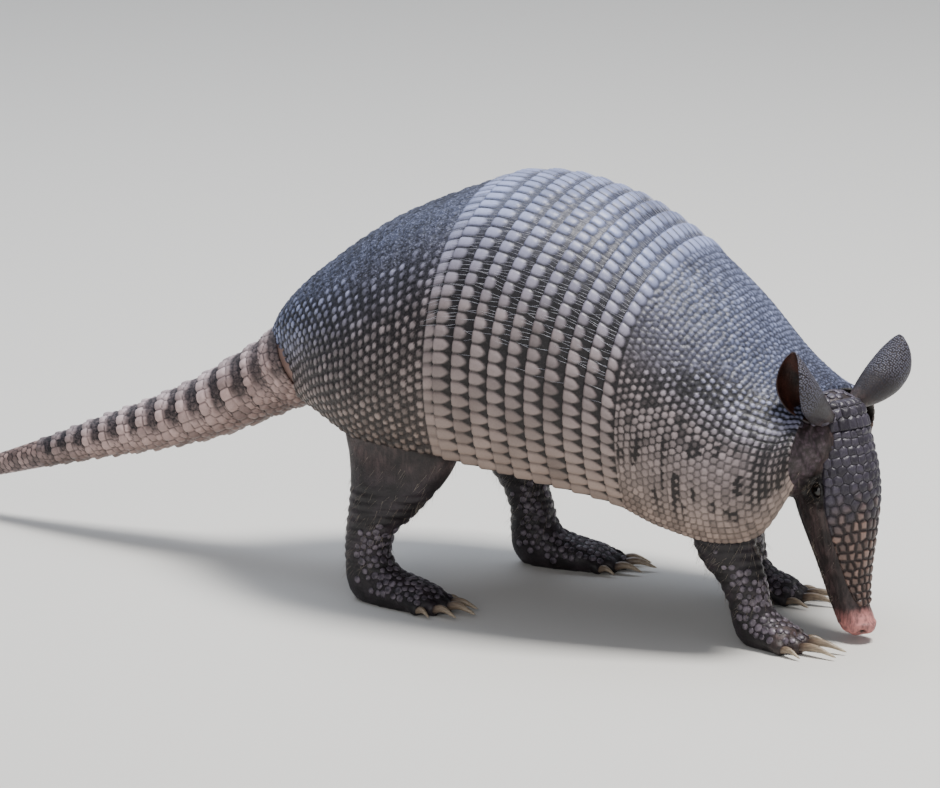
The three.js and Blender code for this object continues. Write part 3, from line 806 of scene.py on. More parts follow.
def addLoft(mesh, rings):
    # one closed body from rings with the same count
    made = [[mesh.verts.new(p) for p in ring] for ring in rings]
    for low, high in zip(made, made[1:]):
        for i in range(len(low)):
            k = (i + 1) % len(low)
            mesh.faces.new((low[i], low[k], high[k], high[i]))
    mesh.faces.new(made[0][::-1])
    mesh.faces.new(made[-1])


def footFrame(key):
    x, y, heading = feet["places"][key]
    turn = math.radians(heading)
    ahead = np.array([math.cos(turn), math.sin(turn), 0])
    side = np.array([-math.sin(turn), math.cos(turn), 0])
    return np.array([x, y, 0.0]), ahead, side


def toesOf(key):
    # each toe's root, direction, length, radius and claw length
    origin, ahead, side = footFrame(key)
    kind = key[:4]
    mirror = -1 if key.endswith("Left") else 1
    toes = []
    for sideways, outward, length, radius, clawLength in feet[kind + "Toes"]:
        bend = math.radians(-outward * mirror)
        root = origin + ahead * feet["toeStart"][kind] + side * sideways * mirror
        toes.append((root, ahead * math.cos(bend) + side * math.sin(bend), length, radius, clawLength))
    return toes


def levelled(rings):
    return [np.column_stack([r[:, :2], np.maximum(r[:, 2], 0)]) for r in rings]


def skinForms():
    mesh = bmesh.new()
    left, up = np.array([0, 1.0, 0]), np.array([0, 0, 1.0])
    # trunk, inside the plates, with a sagging belly
    rings = []
    for station in np.linspace(0.02, 2.9, 90):
        flank = np.linspace(rimAngle, -rimAngle, 61)
        inset = -3.5 - 3.0 * (1 - smooth(0.02, 0.12, station))
        around = raisedShell(station, flank, inset)
        share = np.linspace(0, 1, 22)[1:-1, None]
        belly = around[-1] + (around[0] - around[-1]) * share
        belly[:, 2] += (28 * smooth(2.2, 2.95, station) - 11) * np.sin(np.pi * share)[:, 0]
        rings.append(np.concatenate([around, belly]))
    addLoft(mesh, rings)
    # a sleeve where the tail leaves the body
    out = unit(np.array([-28.0, 0, -15.5]))
    base = np.array(tailRoot)
    addLoft(mesh, [ellipseRing(base + out * t, left, np.cross(left, out), r, r, 60)
                   for t, r in ((-34, 34), (-22, 29), (-10, 24), (-4, 22), (2, 20), (6, 17))])
    # neck
    addLoft(mesh, [ellipseRing(np.array([x, 0, z]), left, up, wide, high, 64)
                   for x, z, high, wide in refined(head["neck"], 16)])
    # head
    stations = np.concatenate([np.linspace(-0.088, 0.9, 70), np.linspace(0.91, 1.0, 18)])
    turn = np.linspace(0, 2 * math.pi, 72, endpoint=False)
    addLoft(mesh, [headPoint(station, turn, -0.15) for station in stations])
    # legs, feet and toes
    for key, rows in legs.items():
        table = refined(rows, 30)
        addLoft(mesh, ringLoft(table[:, :3], table[:, 3:] - 0.1, left, 40, None, -up))
        origin, ahead, side = footFrame(key)
        table = refined(feet[key[:4]], 26)
        centres = origin + ahead * table[:, :1] + up * table[:, 1:2]
        addLoft(mesh, levelled(ringLoft(centres, table[:, 2:] - 0.1, side, 40, -up)))
        for root, heading, length, radius, _ in toesOf(key):
            table = refined(feet["toeRows"], 16)
            centres = root + heading * table[:, :1] * length + up * table[:, 1:2] * radius
            sizes = np.repeat(table[:, 2:3] * radius, 2, axis=1)
            addLoft(mesh, levelled(ringLoft(centres, sizes, side, 20, heading, heading)))
    bmesh.ops.recalc_face_normals(mesh, faces=mesh.faces)
    return fromBmesh("skinForms", mesh)


def applied(piece, name):
    # the evaluated mesh of a piece as a plain object, and the piece itself gone
    graph = bpy.context.evaluated_depsgraph_get()
    mesh = bpy.data.meshes.new_from_object(piece.evaluated_get(graph))
    bpy.data.objects.remove(piece)
    mesh.name = name
    return placed(name, mesh)


def coordsOf(piece):
    return readAll(piece.data.vertices, "co", 3) / mm - bodyShift


def normalsOf(piece):
    return readAll(piece.data.vertex_normals, "vector", 3)


def moveVerts(piece, points):
    piece.data.vertices.foreach_set("co", ((points + bodyShift) * mm).ravel())
    piece.data.update()


def edgesOf(piece):
    return readAll(piece.data.edges, "vertices", 2, np.int32)


def relaxed(points, edges, weight, rounds):
    # smooths points over their neighbours, by a weight for each
    count = np.bincount(edges.ravel(), minlength=len(points))[:, None]
    for _ in range(rounds):
        total = np.stack([
            np.bincount(edges[:, 0], points[edges[:, 1], k], len(points))
            + np.bincount(edges[:, 1], points[edges[:, 0], k], len(points)) for k in range(3)], -1)
        points = points + weight[:, None] * (total / np.maximum(count, 1) - points)
    return points


tailRoot = [-97.0, 0, 107]     # where the tail leaves the body
skinSettings = {
    "voxel": 1.15,
    "kept": 0.345,             # share of the faces kept, most of them where no plate covers the skin
    "lidWidth": 3.7,
    "lidHeight": 2.7,
    # heights and depths of the folds and grains
    "cheekFolds": 0.24,
    "cheekGroove": 0.9,
    "neckFolds": 0.75,
    "neckGrain": 0.7,
    "limbRings": 0.3,
    "limbGrain": 0.5,
    "pawGrain": 0.4,
    "mouthDepth": 0.9,
    "nostrilDepth": 2.2,
    "snoutWrinkles": 0.175,
}


def eyeFrames():
    # the centre of each eye, its outward direction, and the lid's long and short directions
    frames = []
    for side in (-1, 1):
        angle = side * head["eyeAngle"]
        centre = headPoint(head["eyeStation"], angle, -head["eyeDepth"]).reshape(3)
        outward = unit(headPoint(head["eyeStation"], angle, 3).reshape(3) - centre)
        lengthwise = unit(headAxis - outward * (headAxis @ outward))
        frames.append((centre, outward, lengthwise, np.cross(outward, lengthwise)))
    return frames


def buildSkin():
    forms = skinForms()
    remesh = forms.modifiers.new("voxels", "REMESH")
    remesh.mode = "VOXEL"
    remesh.voxel_size = skinSettings["voxel"] * mm
    skin = applied(forms, "skin")
    points = coordsOf(skin)
    print("skin remeshed:", len(points), "points")

    # softer joints between the forms, while ears, toes and soles keep their shape
    station, _, reach = headPlace(points)
    weight = 0.5 * smooth(0.4, 3.0, points[:, 2])
    weight *= np.where(points[:, 2] < 16, 0.35, 1)
    weight *= np.where((station > 0.8) & (reach < 1.4), 0.35, 1)
    points = relaxed(points, edgesOf(skin), weight, 9)
    moveVerts(skin, points)

    # what the plates hide is thinned out
    within = (points[:, 0] > -100) & (points[:, 0] < 176)
    group = skin.vertex_groups.new(name="hidden")
    group.add(np.nonzero(within & (points[:, 2] > 78))[0].tolist(), 1.0, "REPLACE")
    group.add(np.nonzero(within & (points[:, 2] < 78) & (points[:, 2] > 60))[0].tolist(), 0.2, "REPLACE")
    thin = skin.modifiers.new("thin", "DECIMATE")
    thin.ratio = skinSettings["kept"]
    thin.vertex_group = "hidden"
    thin.vertex_group_factor = 10
    skin = applied(skin, "skin")
    skin.vertex_groups.clear()
    print("skin thinned:", len(skin.data.polygons), "faces")

    # the ears join it, and the joint is softened
    for ear in ears["places"]:
        form = earForm(ear)
        union = skin.modifiers.new("ear", "BOOLEAN")
        union.operation, union.solver, union.object = "UNION", "MANIFOLD", form
        skin = applied(skin, "skin")
        print("skin with an ear:", len(skin.data.polygons), "faces")
        bpy.data.objects.remove(form)
    mesh = bmesh.new()
    mesh.from_mesh(skin.data)
    bmesh.ops.triangulate(mesh, faces=[f for f in mesh.faces if len(f.verts) > 4])
    mesh.to_mesh(skin.data)
    mesh.free()
    points = coordsOf(skin)
    weight = np.zeros(len(points))
    for ear in ears["places"]:
        root, _, rise, facing, _ = earFrame(ear)
        away = np.linalg.norm(points - (root + facing * 4 + rise * 3), axis=1)
        weight = np.maximum(weight, 0.5 * (1 - smooth(6, 12, away)))
    moveVerts(skin, relaxed(points, edgesOf(skin), weight, 8))
    skin.data.shade_smooth()
    print("ears joined:", len(skin.data.polygons), "faces")
    return skin


def refine(piece, near):
    # halves the mesh where the mask of its points is true
    mesh = bmesh.new()
    mesh.from_mesh(piece.data)
    mesh.verts.ensure_lookup_table()
    chosen = [e for e in mesh.edges if near[e.verts[0].index] and near[e.verts[1].index]]
    bmesh.ops.subdivide_edges(mesh, edges=chosen, cuts=1, use_grid_fill=True)
    bmesh.ops.triangulate(mesh, faces=[f for f in mesh.faces if len(f.verts) > 4])
    mesh.to_mesh(piece.data)
    mesh.free()
    piece.data.update()


def finePlaces(points, size=1.0):
    # the eyes, the lips and the nose, which carry the finest shapes
    station, angle, reach = headPlace(points)
    turn = np.degrees(np.abs(angle))
    eyes = np.min([np.linalg.norm(points - frame[0], axis=1) for frame in eyeFrames()], axis=0) < 11 * size
    lips = (np.abs(turn - head["mouthAngle"]) < 14 * size) & (station > 0.55)
    lips = lips & (station < 1.02) & (reach < 1.4)
    nose = (station > 1.02 - 0.12 * size) & (station < 1.06) & (reach < 1.5) & (points[:, 0] > 195)
    return eyes | lips | nose


def sculptSkin(skin, sizes):
    for size in (0.9, 0.6):
        refine(skin, finePlaces(coordsOf(skin), size))
    points, normals = coordsOf(skin), normalsOf(skin)
    station, angle, reach = headPlace(points)
    turn = np.degrees(np.abs(angle))
    onHead = smooth(0.03, 0.1, station) * (1 - smooth(1.3, 1.5, reach)) * (points[:, 0] > 180)
    push = np.zeros(len(points))

    # cheeks in lengthwise folds, the neck in upright ones, ankles and wrists in rings
    drift = 6 * softNoise(points, 16, 1)
    cheek = onHead * smooth(64, 80, turn) * (1 - smooth(0.9, 0.96, station))
    push += sizes["cheekFolds"] * cheek * np.sin(26 * angle + drift) * (0.4 + 0.6 * softNoise(points, 9, 6))
    fold = onHead * np.exp(-((turn - 82) / 6) ** 2) * (1 - smooth(0.2, 0.3, station))
    push -= sizes["cheekGroove"] * fold
    neck = smooth(1.12, 1.3, reach) * smooth(176, 184, points[:, 0]) * (1 - smooth(205, 210, points[:, 0]))
    neck *= smooth(66, 76, points[:, 2]) * (1 - smooth(112, 120, points[:, 2]))
    push += sizes["neckFolds"] * neck * np.sin(1.15 * points[:, 0] + 0.25 * points[:, 2] + drift * 0.8)
    push += sizes["neckGrain"] * neck * (softNoise(points, 3.4, 11) - 0.5)
    limb = (1 - smooth(58, 66, points[:, 2])) * smooth(14, 20, points[:, 2]) * (points[:, 0] < 182)
    push += sizes["limbRings"] * limb * np.sin(1.3 * points[:, 2] + drift)
    push += sizes["limbGrain"] * limb * (softNoise(points, 5, 7) - 0.5)
    paw = (1 - smooth(16, 20, points[:, 2])) * smooth(2, 5, points[:, 2])
    push += sizes["pawGrain"] * paw * (softNoise(points, 3.2, 12) - 0.5)

    # a hollow round each eye, painted dark as shade, and lids that hug the ball
    moved = points + normals * push[:, None]
    eyeShadeField = np.zeros(len(points))
    for centre, outward, lengthwise, upright in eyeFrames():
        offset = moved - centre
        rise = offset @ outward
        flat = offset - rise[:, None] * outward
        r = np.linalg.norm(flat, axis=1)
        opening = np.hypot(flat @ lengthwise / sizes["lidWidth"], flat @ upright / sizes["lidHeight"])
        near = (r < 12) & (rise > -4) & (rise < 9)
        hollow = np.exp(-((r - 7.2) / 2.2) ** 2)
        ball = np.sqrt(np.clip(4.75 ** 2 - r ** 2, 0, None))
        rim = np.exp(-((opening - 1.22) / 0.2) ** 2)
        crease = np.exp(-((opening - 1.85) / 0.16) ** 2) + 0.6 * np.exp(-((opening - 2.35) / 0.16) ** 2)
        wanted = np.where(r < 4.6, np.maximum(rise, ball), rise) - 1.0 * hollow + 0.35 * rim - 0.35 * crease
        inside = 1 - smooth(0.9, 1.06, opening)
        wanted = wanted * (1 - inside) + np.minimum(wanted, 1.2) * inside
        moved = moved + np.where(near, wanted - rise, 0)[:, None] * outward
        eyeShadeField = np.maximum(eyeShadeField, np.exp(-(np.hypot(r, rise * 0.6) / 10) ** 4))

    # lips and nostrils
    mouth = turn - head["mouthAngle"] - 10 * (1 - smooth(0.6, 0.72, station))
    mouth = np.exp(-(mouth / 3.2) ** 2)
    mouth = mouth * smooth(0.58, 0.64, station) * (1 - smooth(0.975, 0.99, station)) * (reach < 1.4)
    moved -= normals * (sizes["mouthDepth"] * mouth)[:, None]
    nostrils = np.zeros(len(points))
    for side in (-1, 1):
        pit = headPoint(0.985, side * math.radians(48), -1.2).reshape(3)
        gap = np.linalg.norm(moved - pit, axis=1)
        nostrils = np.maximum(nostrils, np.exp(-(gap / 1.9) ** 2))
    snout = smooth(0.9, 0.96, station) * (reach < 1.5)
    moved -= normals * (sizes["nostrilDepth"] * nostrils * snout)[:, None]
    wrinkle = sizes["snoutWrinkles"] * np.sin(1.9 * points[:, 2] + drift)
    moved += normals * (snout * wrinkle * (1 - nostrils))[:, None]
    moved[:, 2] = np.maximum(moved[:, 2], 0)
    moveVerts(skin, moved)

    # what the colours need to know
    innerEar, outerEar, earPebble, earU, earV = np.zeros((5, len(points)))
    patchy = 0.25 * (softNoise(points, 12, 9) - 0.5)
    for ear in ears["places"]:
        away, radial, share, arc, climb = earDistance(points, ear)
        near = np.abs(away) < 1.2
        earU, earV = np.where(near, arc, earU), np.where(near, climb, earV)
        close = near * smooth(0.1, 0.25, share)
        innerEar = np.maximum(innerEar, close * (1 - smooth(-0.25, 0.1, radial)))
        outerEar = np.maximum(outerEar, close)
        earPebble = np.maximum(earPebble, close * smooth(0.36, 0.62, share + patchy))
    pink = smooth(0.87, 0.94, station + 0.03 * (softNoise(points, 5, 3) - 0.5)) * (reach < 1.6)
    crownSkin = smooth(114, 118, points[:, 2]) * (points[:, 0] > 186) * (1 - outerEar)
    warty = neck * smooth(72, 84, points[:, 2]) * (1 - smooth(122, 130, points[:, 2]))
    outer = outerEar * (1 - innerEar)
    # the hollow field paints shade into the eye hollows, the cheek groove, the mouth line and the nostrils
    writeFields(
        skin, pink=pink * (points[:, 0] > 195), warty=np.maximum(warty, 0.2 * crownSkin),
        hollow=np.clip(eyeShadeField + 0.7 * fold + 0.8 * mouth + 1.2 * nostrils * snout, 0, 1),
        innerEar=innerEar, outerEar=outer, earPebble=(0.08 + 0.92 * earPebble) * outer, earU=earU, earV=earV,
        limb=(1 - smooth(60, 80, points[:, 2])) * (points[:, 0] < 190),
        tailRoot=1 - smooth(26, 32, np.linalg.norm(points - np.array(tailRoot), axis=1)))
    return skin


# the hollow tone is painted shade for the skin's hollows and creases
skinTones = {
    "leather": "292020", "leatherPale": "4f3f3e", "nosePink": "bd7d78", "hollow": "0d0909", "warty": "5b4a53",
    "innerEar": "43241b", "innerEarDeep": "120907", "outerEar": "1b1a21", "earGrain": "5b5b6b",
    "limb": "130e10", "limbPale": "2c2429", "tailRoot": "8d736a",
}


def skinMaterial():
    material, tree, shader = newMaterial("bareSkin", 0.4, 0.06, 0.35)
    t = {key: tone(code) for key, code in skinTones.items()}
    mottle, fine = noiseOf(tree, 9, 4), noiseOf(tree, 0.9, 4)
    folds = noiseOf(tree, 1.6, 4, (1, 1, 0.28))
    colour = mixOf(tree, spread(tree, mottle, 0.38, 0.68), t["leather"], t["leatherPale"])
    # the creases of the fold pattern are painted dark, as shade
    colour = mixOf(tree, spread(tree, folds, 0.42, 0.6, 0.6, 0.0), colour, t["hollow"])
    limb = mixOf(tree, spread(tree, mottle, 0.42, 0.68), t["limb"], t["limbPale"])
    wart = spread(tree, cellsOf(tree, 2.4, "F1"), 0.2, 0.75, 1.0, 0.0)
    warty = mixOf(tree, calc(tree, "MULTIPLY", wart, spread(tree, fine, 0.3, 0.6)), t["leather"], t["warty"])
    leaf = nodeOf(tree, "ShaderNodeCombineXYZ", X=fieldOf(tree, "earU"), Y=fieldOf(tree, "earV"))
    dots = nodeOf(tree, "ShaderNodeTexVoronoi", {"voronoi_dimensions": "2D"}, Scale=1 / 1.15, Randomness=0.55,
                  Vector=leaf.outputs["Vector"])
    grain = spread(tree, dots.outputs["Distance"], 0.2, 0.5, 1.0, 0.0)
    grain = calc(tree, "MULTIPLY", grain, fieldOf(tree, "earPebble"))
    outer = mixOf(tree, spread(tree, fine, 0.35, 0.7), t["outerEar"], t["leather"])
    outer = mixOf(tree, calc(tree, "MULTIPLY", grain, 0.8), outer, t["earGrain"])
    inner = mixOf(tree, spread(tree, mottle, 0.3, 0.65), t["innerEarDeep"], t["innerEar"])
    pink = mixOf(tree, spread(tree, folds, 0.36, 0.6, 0.7, 0.0), t["nosePink"], t["leatherPale"])
    for key, over in (("limb", limb), ("warty", warty), ("outerEar", outer), ("innerEar", inner),
                      ("pink", pink), ("tailRoot", t["tailRoot"]), ("hollow", t["hollow"])):
        colour = mixOf(tree, fieldOf(tree, key), colour, over)
    paint(tree, shader, colour, spread(tree, fine, 0.3, 0.7, 0.4, 0.66), (cellsOf(tree, 1.5), 0.45, 0.3),
          (folds, 0.5, 0.45), (fine, 0.35, 0.15), (grain, 0.6, 0.4))
    return material


skin = sculptSkin(buildSkin(), skinSettings)
fleshNodes = ["trunk", "neck", "head", "ear_right", "ear_left"]
fleshNodes += [f"{end}_{part}_{side}" for end in ("hind", "fore") for part in ("leg", "foot")
               for side in ("right", "left")]
finish(skin, skinMaterial(), "skin", *fleshNodes)
print("skin made")


# eyes

def buildEye(name, node, centre, outward):
    mesh = bmesh.new()
    bmesh.ops.create_uvsphere(mesh, u_segments=28, v_segments=18, radius=head["eyeRadius"])
    eye = fromBmesh(name, mesh, centre)
    eye.data.shade_smooth()
    writeField(eye, "front", (coordsOf(eye) - centre) @ outward / head["eyeRadius"])
    finish(eye, eyeGloss, "eye", node)


def eyeMaterial():
    material, tree, shader = newMaterial("eyeGloss", 0.4, 0.3, 0.1)
    front = fieldOf(tree, "front")
    iris = mixOf(tree, spread(tree, noiseOf(tree, 0.8, 3), 0.3, 0.7), tone("100906"), tone("1c110b"))
    paint(tree, shader, mixOf(tree, spread(tree, front, 0.86, 0.9), iris, tone("050404")), 0.18)
    return material


eyeGloss = eyeMaterial()
for name, node, (centre, outward, *_) in zip(("eyeRight", "eyeLeft"), ("eye_right", "eye_left"), eyeFrames()):
    buildEye(name, node, centre, outward)
print("eyes made")


# shields of the head

crown = {
    "frontal": [[0.083, 48], [0.1, 56], [0.13, 61], [0.22, 66], [0.34, 67], [0.46, 70], [0.6, 66], [0.74, 56],
                [0.83, 42], [0.875, 24]],
    "nuchal": [[-0.05, 34], [-0.03, 48], [0.01, 61], [0.06, 65], [0.092, 60]],
    "pitch": [[0.1, 4.9], [0.3, 5.1], [0.5, 4.8], [0.7, 3.9], [0.88, 2.8]],
    # the nuchal plate's rows of scutes: station and degrees round
    "nuchalRows": [(0.052, [-58, -42, -25, -8, 8, 24, 41, 58]), (0.008, [-50, -32, -16, 1, 17, 33, 50]),
                   (-0.034, [-34, -17, 0, 17, 34])],
    "lift": 1.2,              # of the surface on which the scutes are laid out
    "columns": 130,
    "spacing": 0.42,
}


def crownPlate(name, node, outline, seeds, pattern):
    low, high = outline[0][0], outline[-1][0]
    rows = int((high - low) * headLength / crown["spacing"])
    stations = np.linspace(low, high, rows)
    spreadAngle = np.radians(np.maximum(along(outline, stations)[:, 0], 4))
    share = np.linspace(-1, 1, crown["columns"])
    station = np.repeat(stations[:, None], len(share), 1)
    angle = spreadAngle[:, None] * share
    points = headPoint(station, angle, crown["lift"]).reshape(-1, 3)
    index, _, edge = nearestCells(points, seeds)
    light, height, luck, zone = pattern(station.ravel(), angle.ravel(), points, index, edge)
    rim = (1 - np.abs(share)[None, :]) * spreadAngle[:, None] * 16
    ends = np.minimum(station - low, high - station) * headLength
    border = smooth(0.0, 1.5, np.minimum(rim, ends * 1.2))
    lift = -0.45 + 1.25 * border + height.reshape(station.shape) * border
    outer = headPoint(station, angle, lift)
    innerStation = np.repeat(np.linspace(low, high, 10)[:, None], len(share), 1)
    innerSpread = np.radians(np.maximum(along(outline, innerStation[:, 0])[:, 0], 4))
    inner = headPoint(innerStation, innerSpread[:, None] * share, -0.55)
    piece = closedPlate(name, outer, inner)
    writeFields(piece, light=light, zone=zone, chance=luck)
    finish(piece, crownHorn, "shield", node)


def crownSeeds():
    seeds, t, k = [], 0.1, 0
    while t < 0.87:
        pitch = np.interp(t, *zip(*crown["pitch"]))
        half = math.radians(along(crown["frontal"], t)[0, 0])
        arc = np.linspace(-half, half, 60)
        run = runOf(headPoint(t, arc, crown["lift"]))
        count = max(int(round(run[-1] / pitch)), 2)
        at = (np.arange(count) + 0.5 + 0.5 * (k % 2) - 0.25) / count * run[-1]
        at = at + rng.normal(0, 0.12 * pitch, count)
        wobble = rng.normal(0, 0.0045, count) * pitch / 5
        seeds.append(headPoint(t + wobble, np.interp(at, run, arc), crown["lift"]))
        t += pitch * np.interp(t, [0.3, 0.5], [0.9, 1.08]) / headLength
        k += 1
    return np.concatenate(seeds)


def frontalPattern(station, angle, points, index, edge):
    luck = rng.uniform(0, 1, index.max() + 1)[index]
    lower = smooth(0.3, 0.62, station + 0.16 * (luck - 0.5) + 0.05 * np.cos(angle * 2))
    tip = smooth(0.76, 0.86, station)
    # a pale line just inside each scute's rim is a painted highlight on its edge
    brow = 0.16 + 0.2 * luck + 0.35 * np.exp(-((edge - 0.4) / 0.2) ** 2) * (1 - 0.5 * luck)
    brow = brow * smooth(0.1, 0.32, edge)
    joint = np.interp(station, [0.42, 0.6, 0.88], [0.75, 0.55, 0.3])
    tiles = smooth(joint, joint + 0.95, edge) * (0.5 + 0.5 * luck) * (1 - 0.45 * tip)
    light = brow * (1 - lower) + tiles * lower
    dome = smooth(0.0, 1.1, edge) * 0.55 + smooth(0.6, 2.6, edge) * 0.3
    height = dome - 0.35 * (1 - smooth(0.0, 0.32, edge)) + 0.15 * (softNoise(points, 1.5, 2) - 0.5)
    return light, height, luck, 1 - 0.8 * lower


def nuchalPattern(station, angle, points, index, edge):
    luck = rng.uniform(0, 1, index.max() + 1)[index]
    # a pale line just inside each scute's rim is a painted highlight on its edge
    light = 0.14 + 0.18 * luck + 0.25 * np.exp(-((edge - 0.45) / 0.25) ** 2)
    light = light * smooth(0.1, 0.4, edge)
    height = 0.8 * smooth(0.0, 1.2, edge) + 0.45 * smooth(0.8, 3.2, edge) - 0.5 * (1 - smooth(0.0, 0.4, edge))
    return light, height, luck, np.ones(len(points))


crownTones = dict(hornTones, darkLow="2b1e1a", darkHigh="1c181e", lightLow="84695b", lightMiddle="6c5c5b",
                  paleTopSheen="5a5564", grime="6a564c")
crownHorn = hornMaterial("crownHorn", crownTones, 0.38)
crownPlate("frontalShield", "frontal_shield", crown["frontal"], crownSeeds(), frontalPattern)
nuchalSeeds = np.concatenate([headPoint(station, np.radians(turns), crown["lift"])
                              for station, turns in crown["nuchalRows"]])
crownPlate("nuchalPlate", "nuchal_plate", crown["nuchal"], nuchalSeeds, nuchalPattern)
print("head shields made")


# the tail

tail = {
    "line": [tailRoot, [-125, 0, 91.5], [-150, 0, 78], [-180, 0, 65.5], [-215, 1, 53.5],
             [-250, 3, 41], [-290, 6, 27], [-322, 8, 16.5], [-350, 9, 9]],
    "radii": [[0, 19.6], [0.04, 19.6], [0.14, 17.8], [0.28, 14.8], [0.42, 11.5], [0.61, 8], [0.81, 4.8],
              [0.93, 2.8], [1, 1.2]],
    "rings": 12,
    "ringsStart": 0.035,
    "ringsEnd": 0.635,
    "shrink": 0.955,
    "flare": 1.5,
    "rootFlare": 3.0,         # how far the first ring opens under the rim of the shield
    "stretch": 13,            # length of one group of scale rows
    # in each group, how far each row is from the rear edge and its pitch, both as shares of its length
    "scaleRows": ((0.2, 0.4), (0.55, 0.36), (0.8, 0.29), (0.98, 0.24)),
    "spacing": 0.7,
    "tipColumns": 46,
}


def tailCentre(share):
    line = np.array(tail["line"], float)
    run = runOf(line)
    return along(np.column_stack([run / run[-1], line]), share)


def tailPoint(share, angle, lift=0.0):
    # angle 0 is on top and grows to the left side
    share, angle, lift = np.broadcast_arrays(
        np.asarray(share, float), np.asarray(angle, float), np.asarray(lift, float))
    flat = share.ravel()
    centre = tailCentre(flat)
    heading = unit(tailCentre(flat + 1e-3) - tailCentre(flat - 1e-3))
    side = np.array([0, 1.0, 0])
    up = unit(np.cross(side, heading))
    across = np.cross(heading, up)
    radius = along(tail["radii"], flat)[:, 0] + lift.ravel()
    turn = angle.ravel()
    offset = up * (radius * np.cos(turn))[:, None] + across * (radius * np.sin(turn))[:, None]
    return (centre + offset).reshape(*share.shape, 3)


tailLength = runOf(np.array(tail["line"], float))[-1]


def ringStarts():
    k = np.arange(tail["rings"] + 1)
    reach = (1 - tail["shrink"] ** k) / (1 - tail["shrink"] ** tail["rings"])
    return tail["ringsStart"] + (tail["ringsEnd"] - tail["ringsStart"]) * reach


def tube(name, rings, v, closed=False):
    # a tube whose last ring meets its first, or whose two ends get a face
    rows, columns = rings.shape[:2]
    j = np.arange(columns)
    k = (j + 1) % columns
    faces = [] if closed else [j[::-1], (rows - 1) * columns + j]
    for i in range(rows if closed else rows - 1):
        a, b = i * columns, (i + 1) % rows * columns
        faces += zip(a + j, a + k, b + k, b + j)
    piece = makeObject(name, rings.reshape(-1, 3) + bodyShift, faces)
    mesh = bmesh.new()
    mesh.from_mesh(piece.data)
    bmesh.ops.recalc_face_normals(mesh, faces=mesh.faces)
    mesh.to_mesh(piece.data)
    mesh.free()
    # a face that crosses the seam takes its far corners past 1, then all are scaled in
    corner, starts = cornersOf(piece), readAll(piece.data.polygons, "loop_start", 1, np.int32)
    u = np.tile(j / columns, rows)[corner]
    crosses = np.maximum.reduceat(u, starts) - np.minimum.reduceat(u, starts) > 0.5
    u += np.repeat(crosses, np.diff(np.append(starts, len(corner)))) & (u < 0.5)
    writeUv(piece, np.stack([0.98 * u, np.repeat(v, columns)[corner]], -1))
    return piece


def stretchesOf(start, end):
    # the scales of a ring come in stretches of about this length
    return max(int(round((end - start) * tailLength / tail["stretch"])), 1)


def turnsAt(radius, pitch, least, row):
    # the angles of the scales in a row round the tail; every other row is shifted by half a scale
    count = max(int(round(2 * math.pi * radius / pitch)), least)
    return (np.arange(count) + 0.5 * (row % 2)) / count * 2 * math.pi


def ringSeeds(start, end):
    # rows of scales in each stretch, the largest towards its free rear edge
    stretches = stretchesOf(start, end)
    step = (end - start) / stretches
    seeds = []
    for part in range(stretches):
        for k, (away, pitch) in enumerate(tail["scaleRows"]):
            share = end - (part + away) * step
            radius = along(tail["radii"], share)[0, 0]
            turns = turnsAt(radius, max(pitch * step * tailLength, 2.2), 6, k)
            turns = turns + rng.normal(0, 0.025, len(turns))
            seeds.append(tailPoint(share + rng.normal(0, 0.0006, len(turns)), turns, 0.4))
    return np.concatenate(seeds)


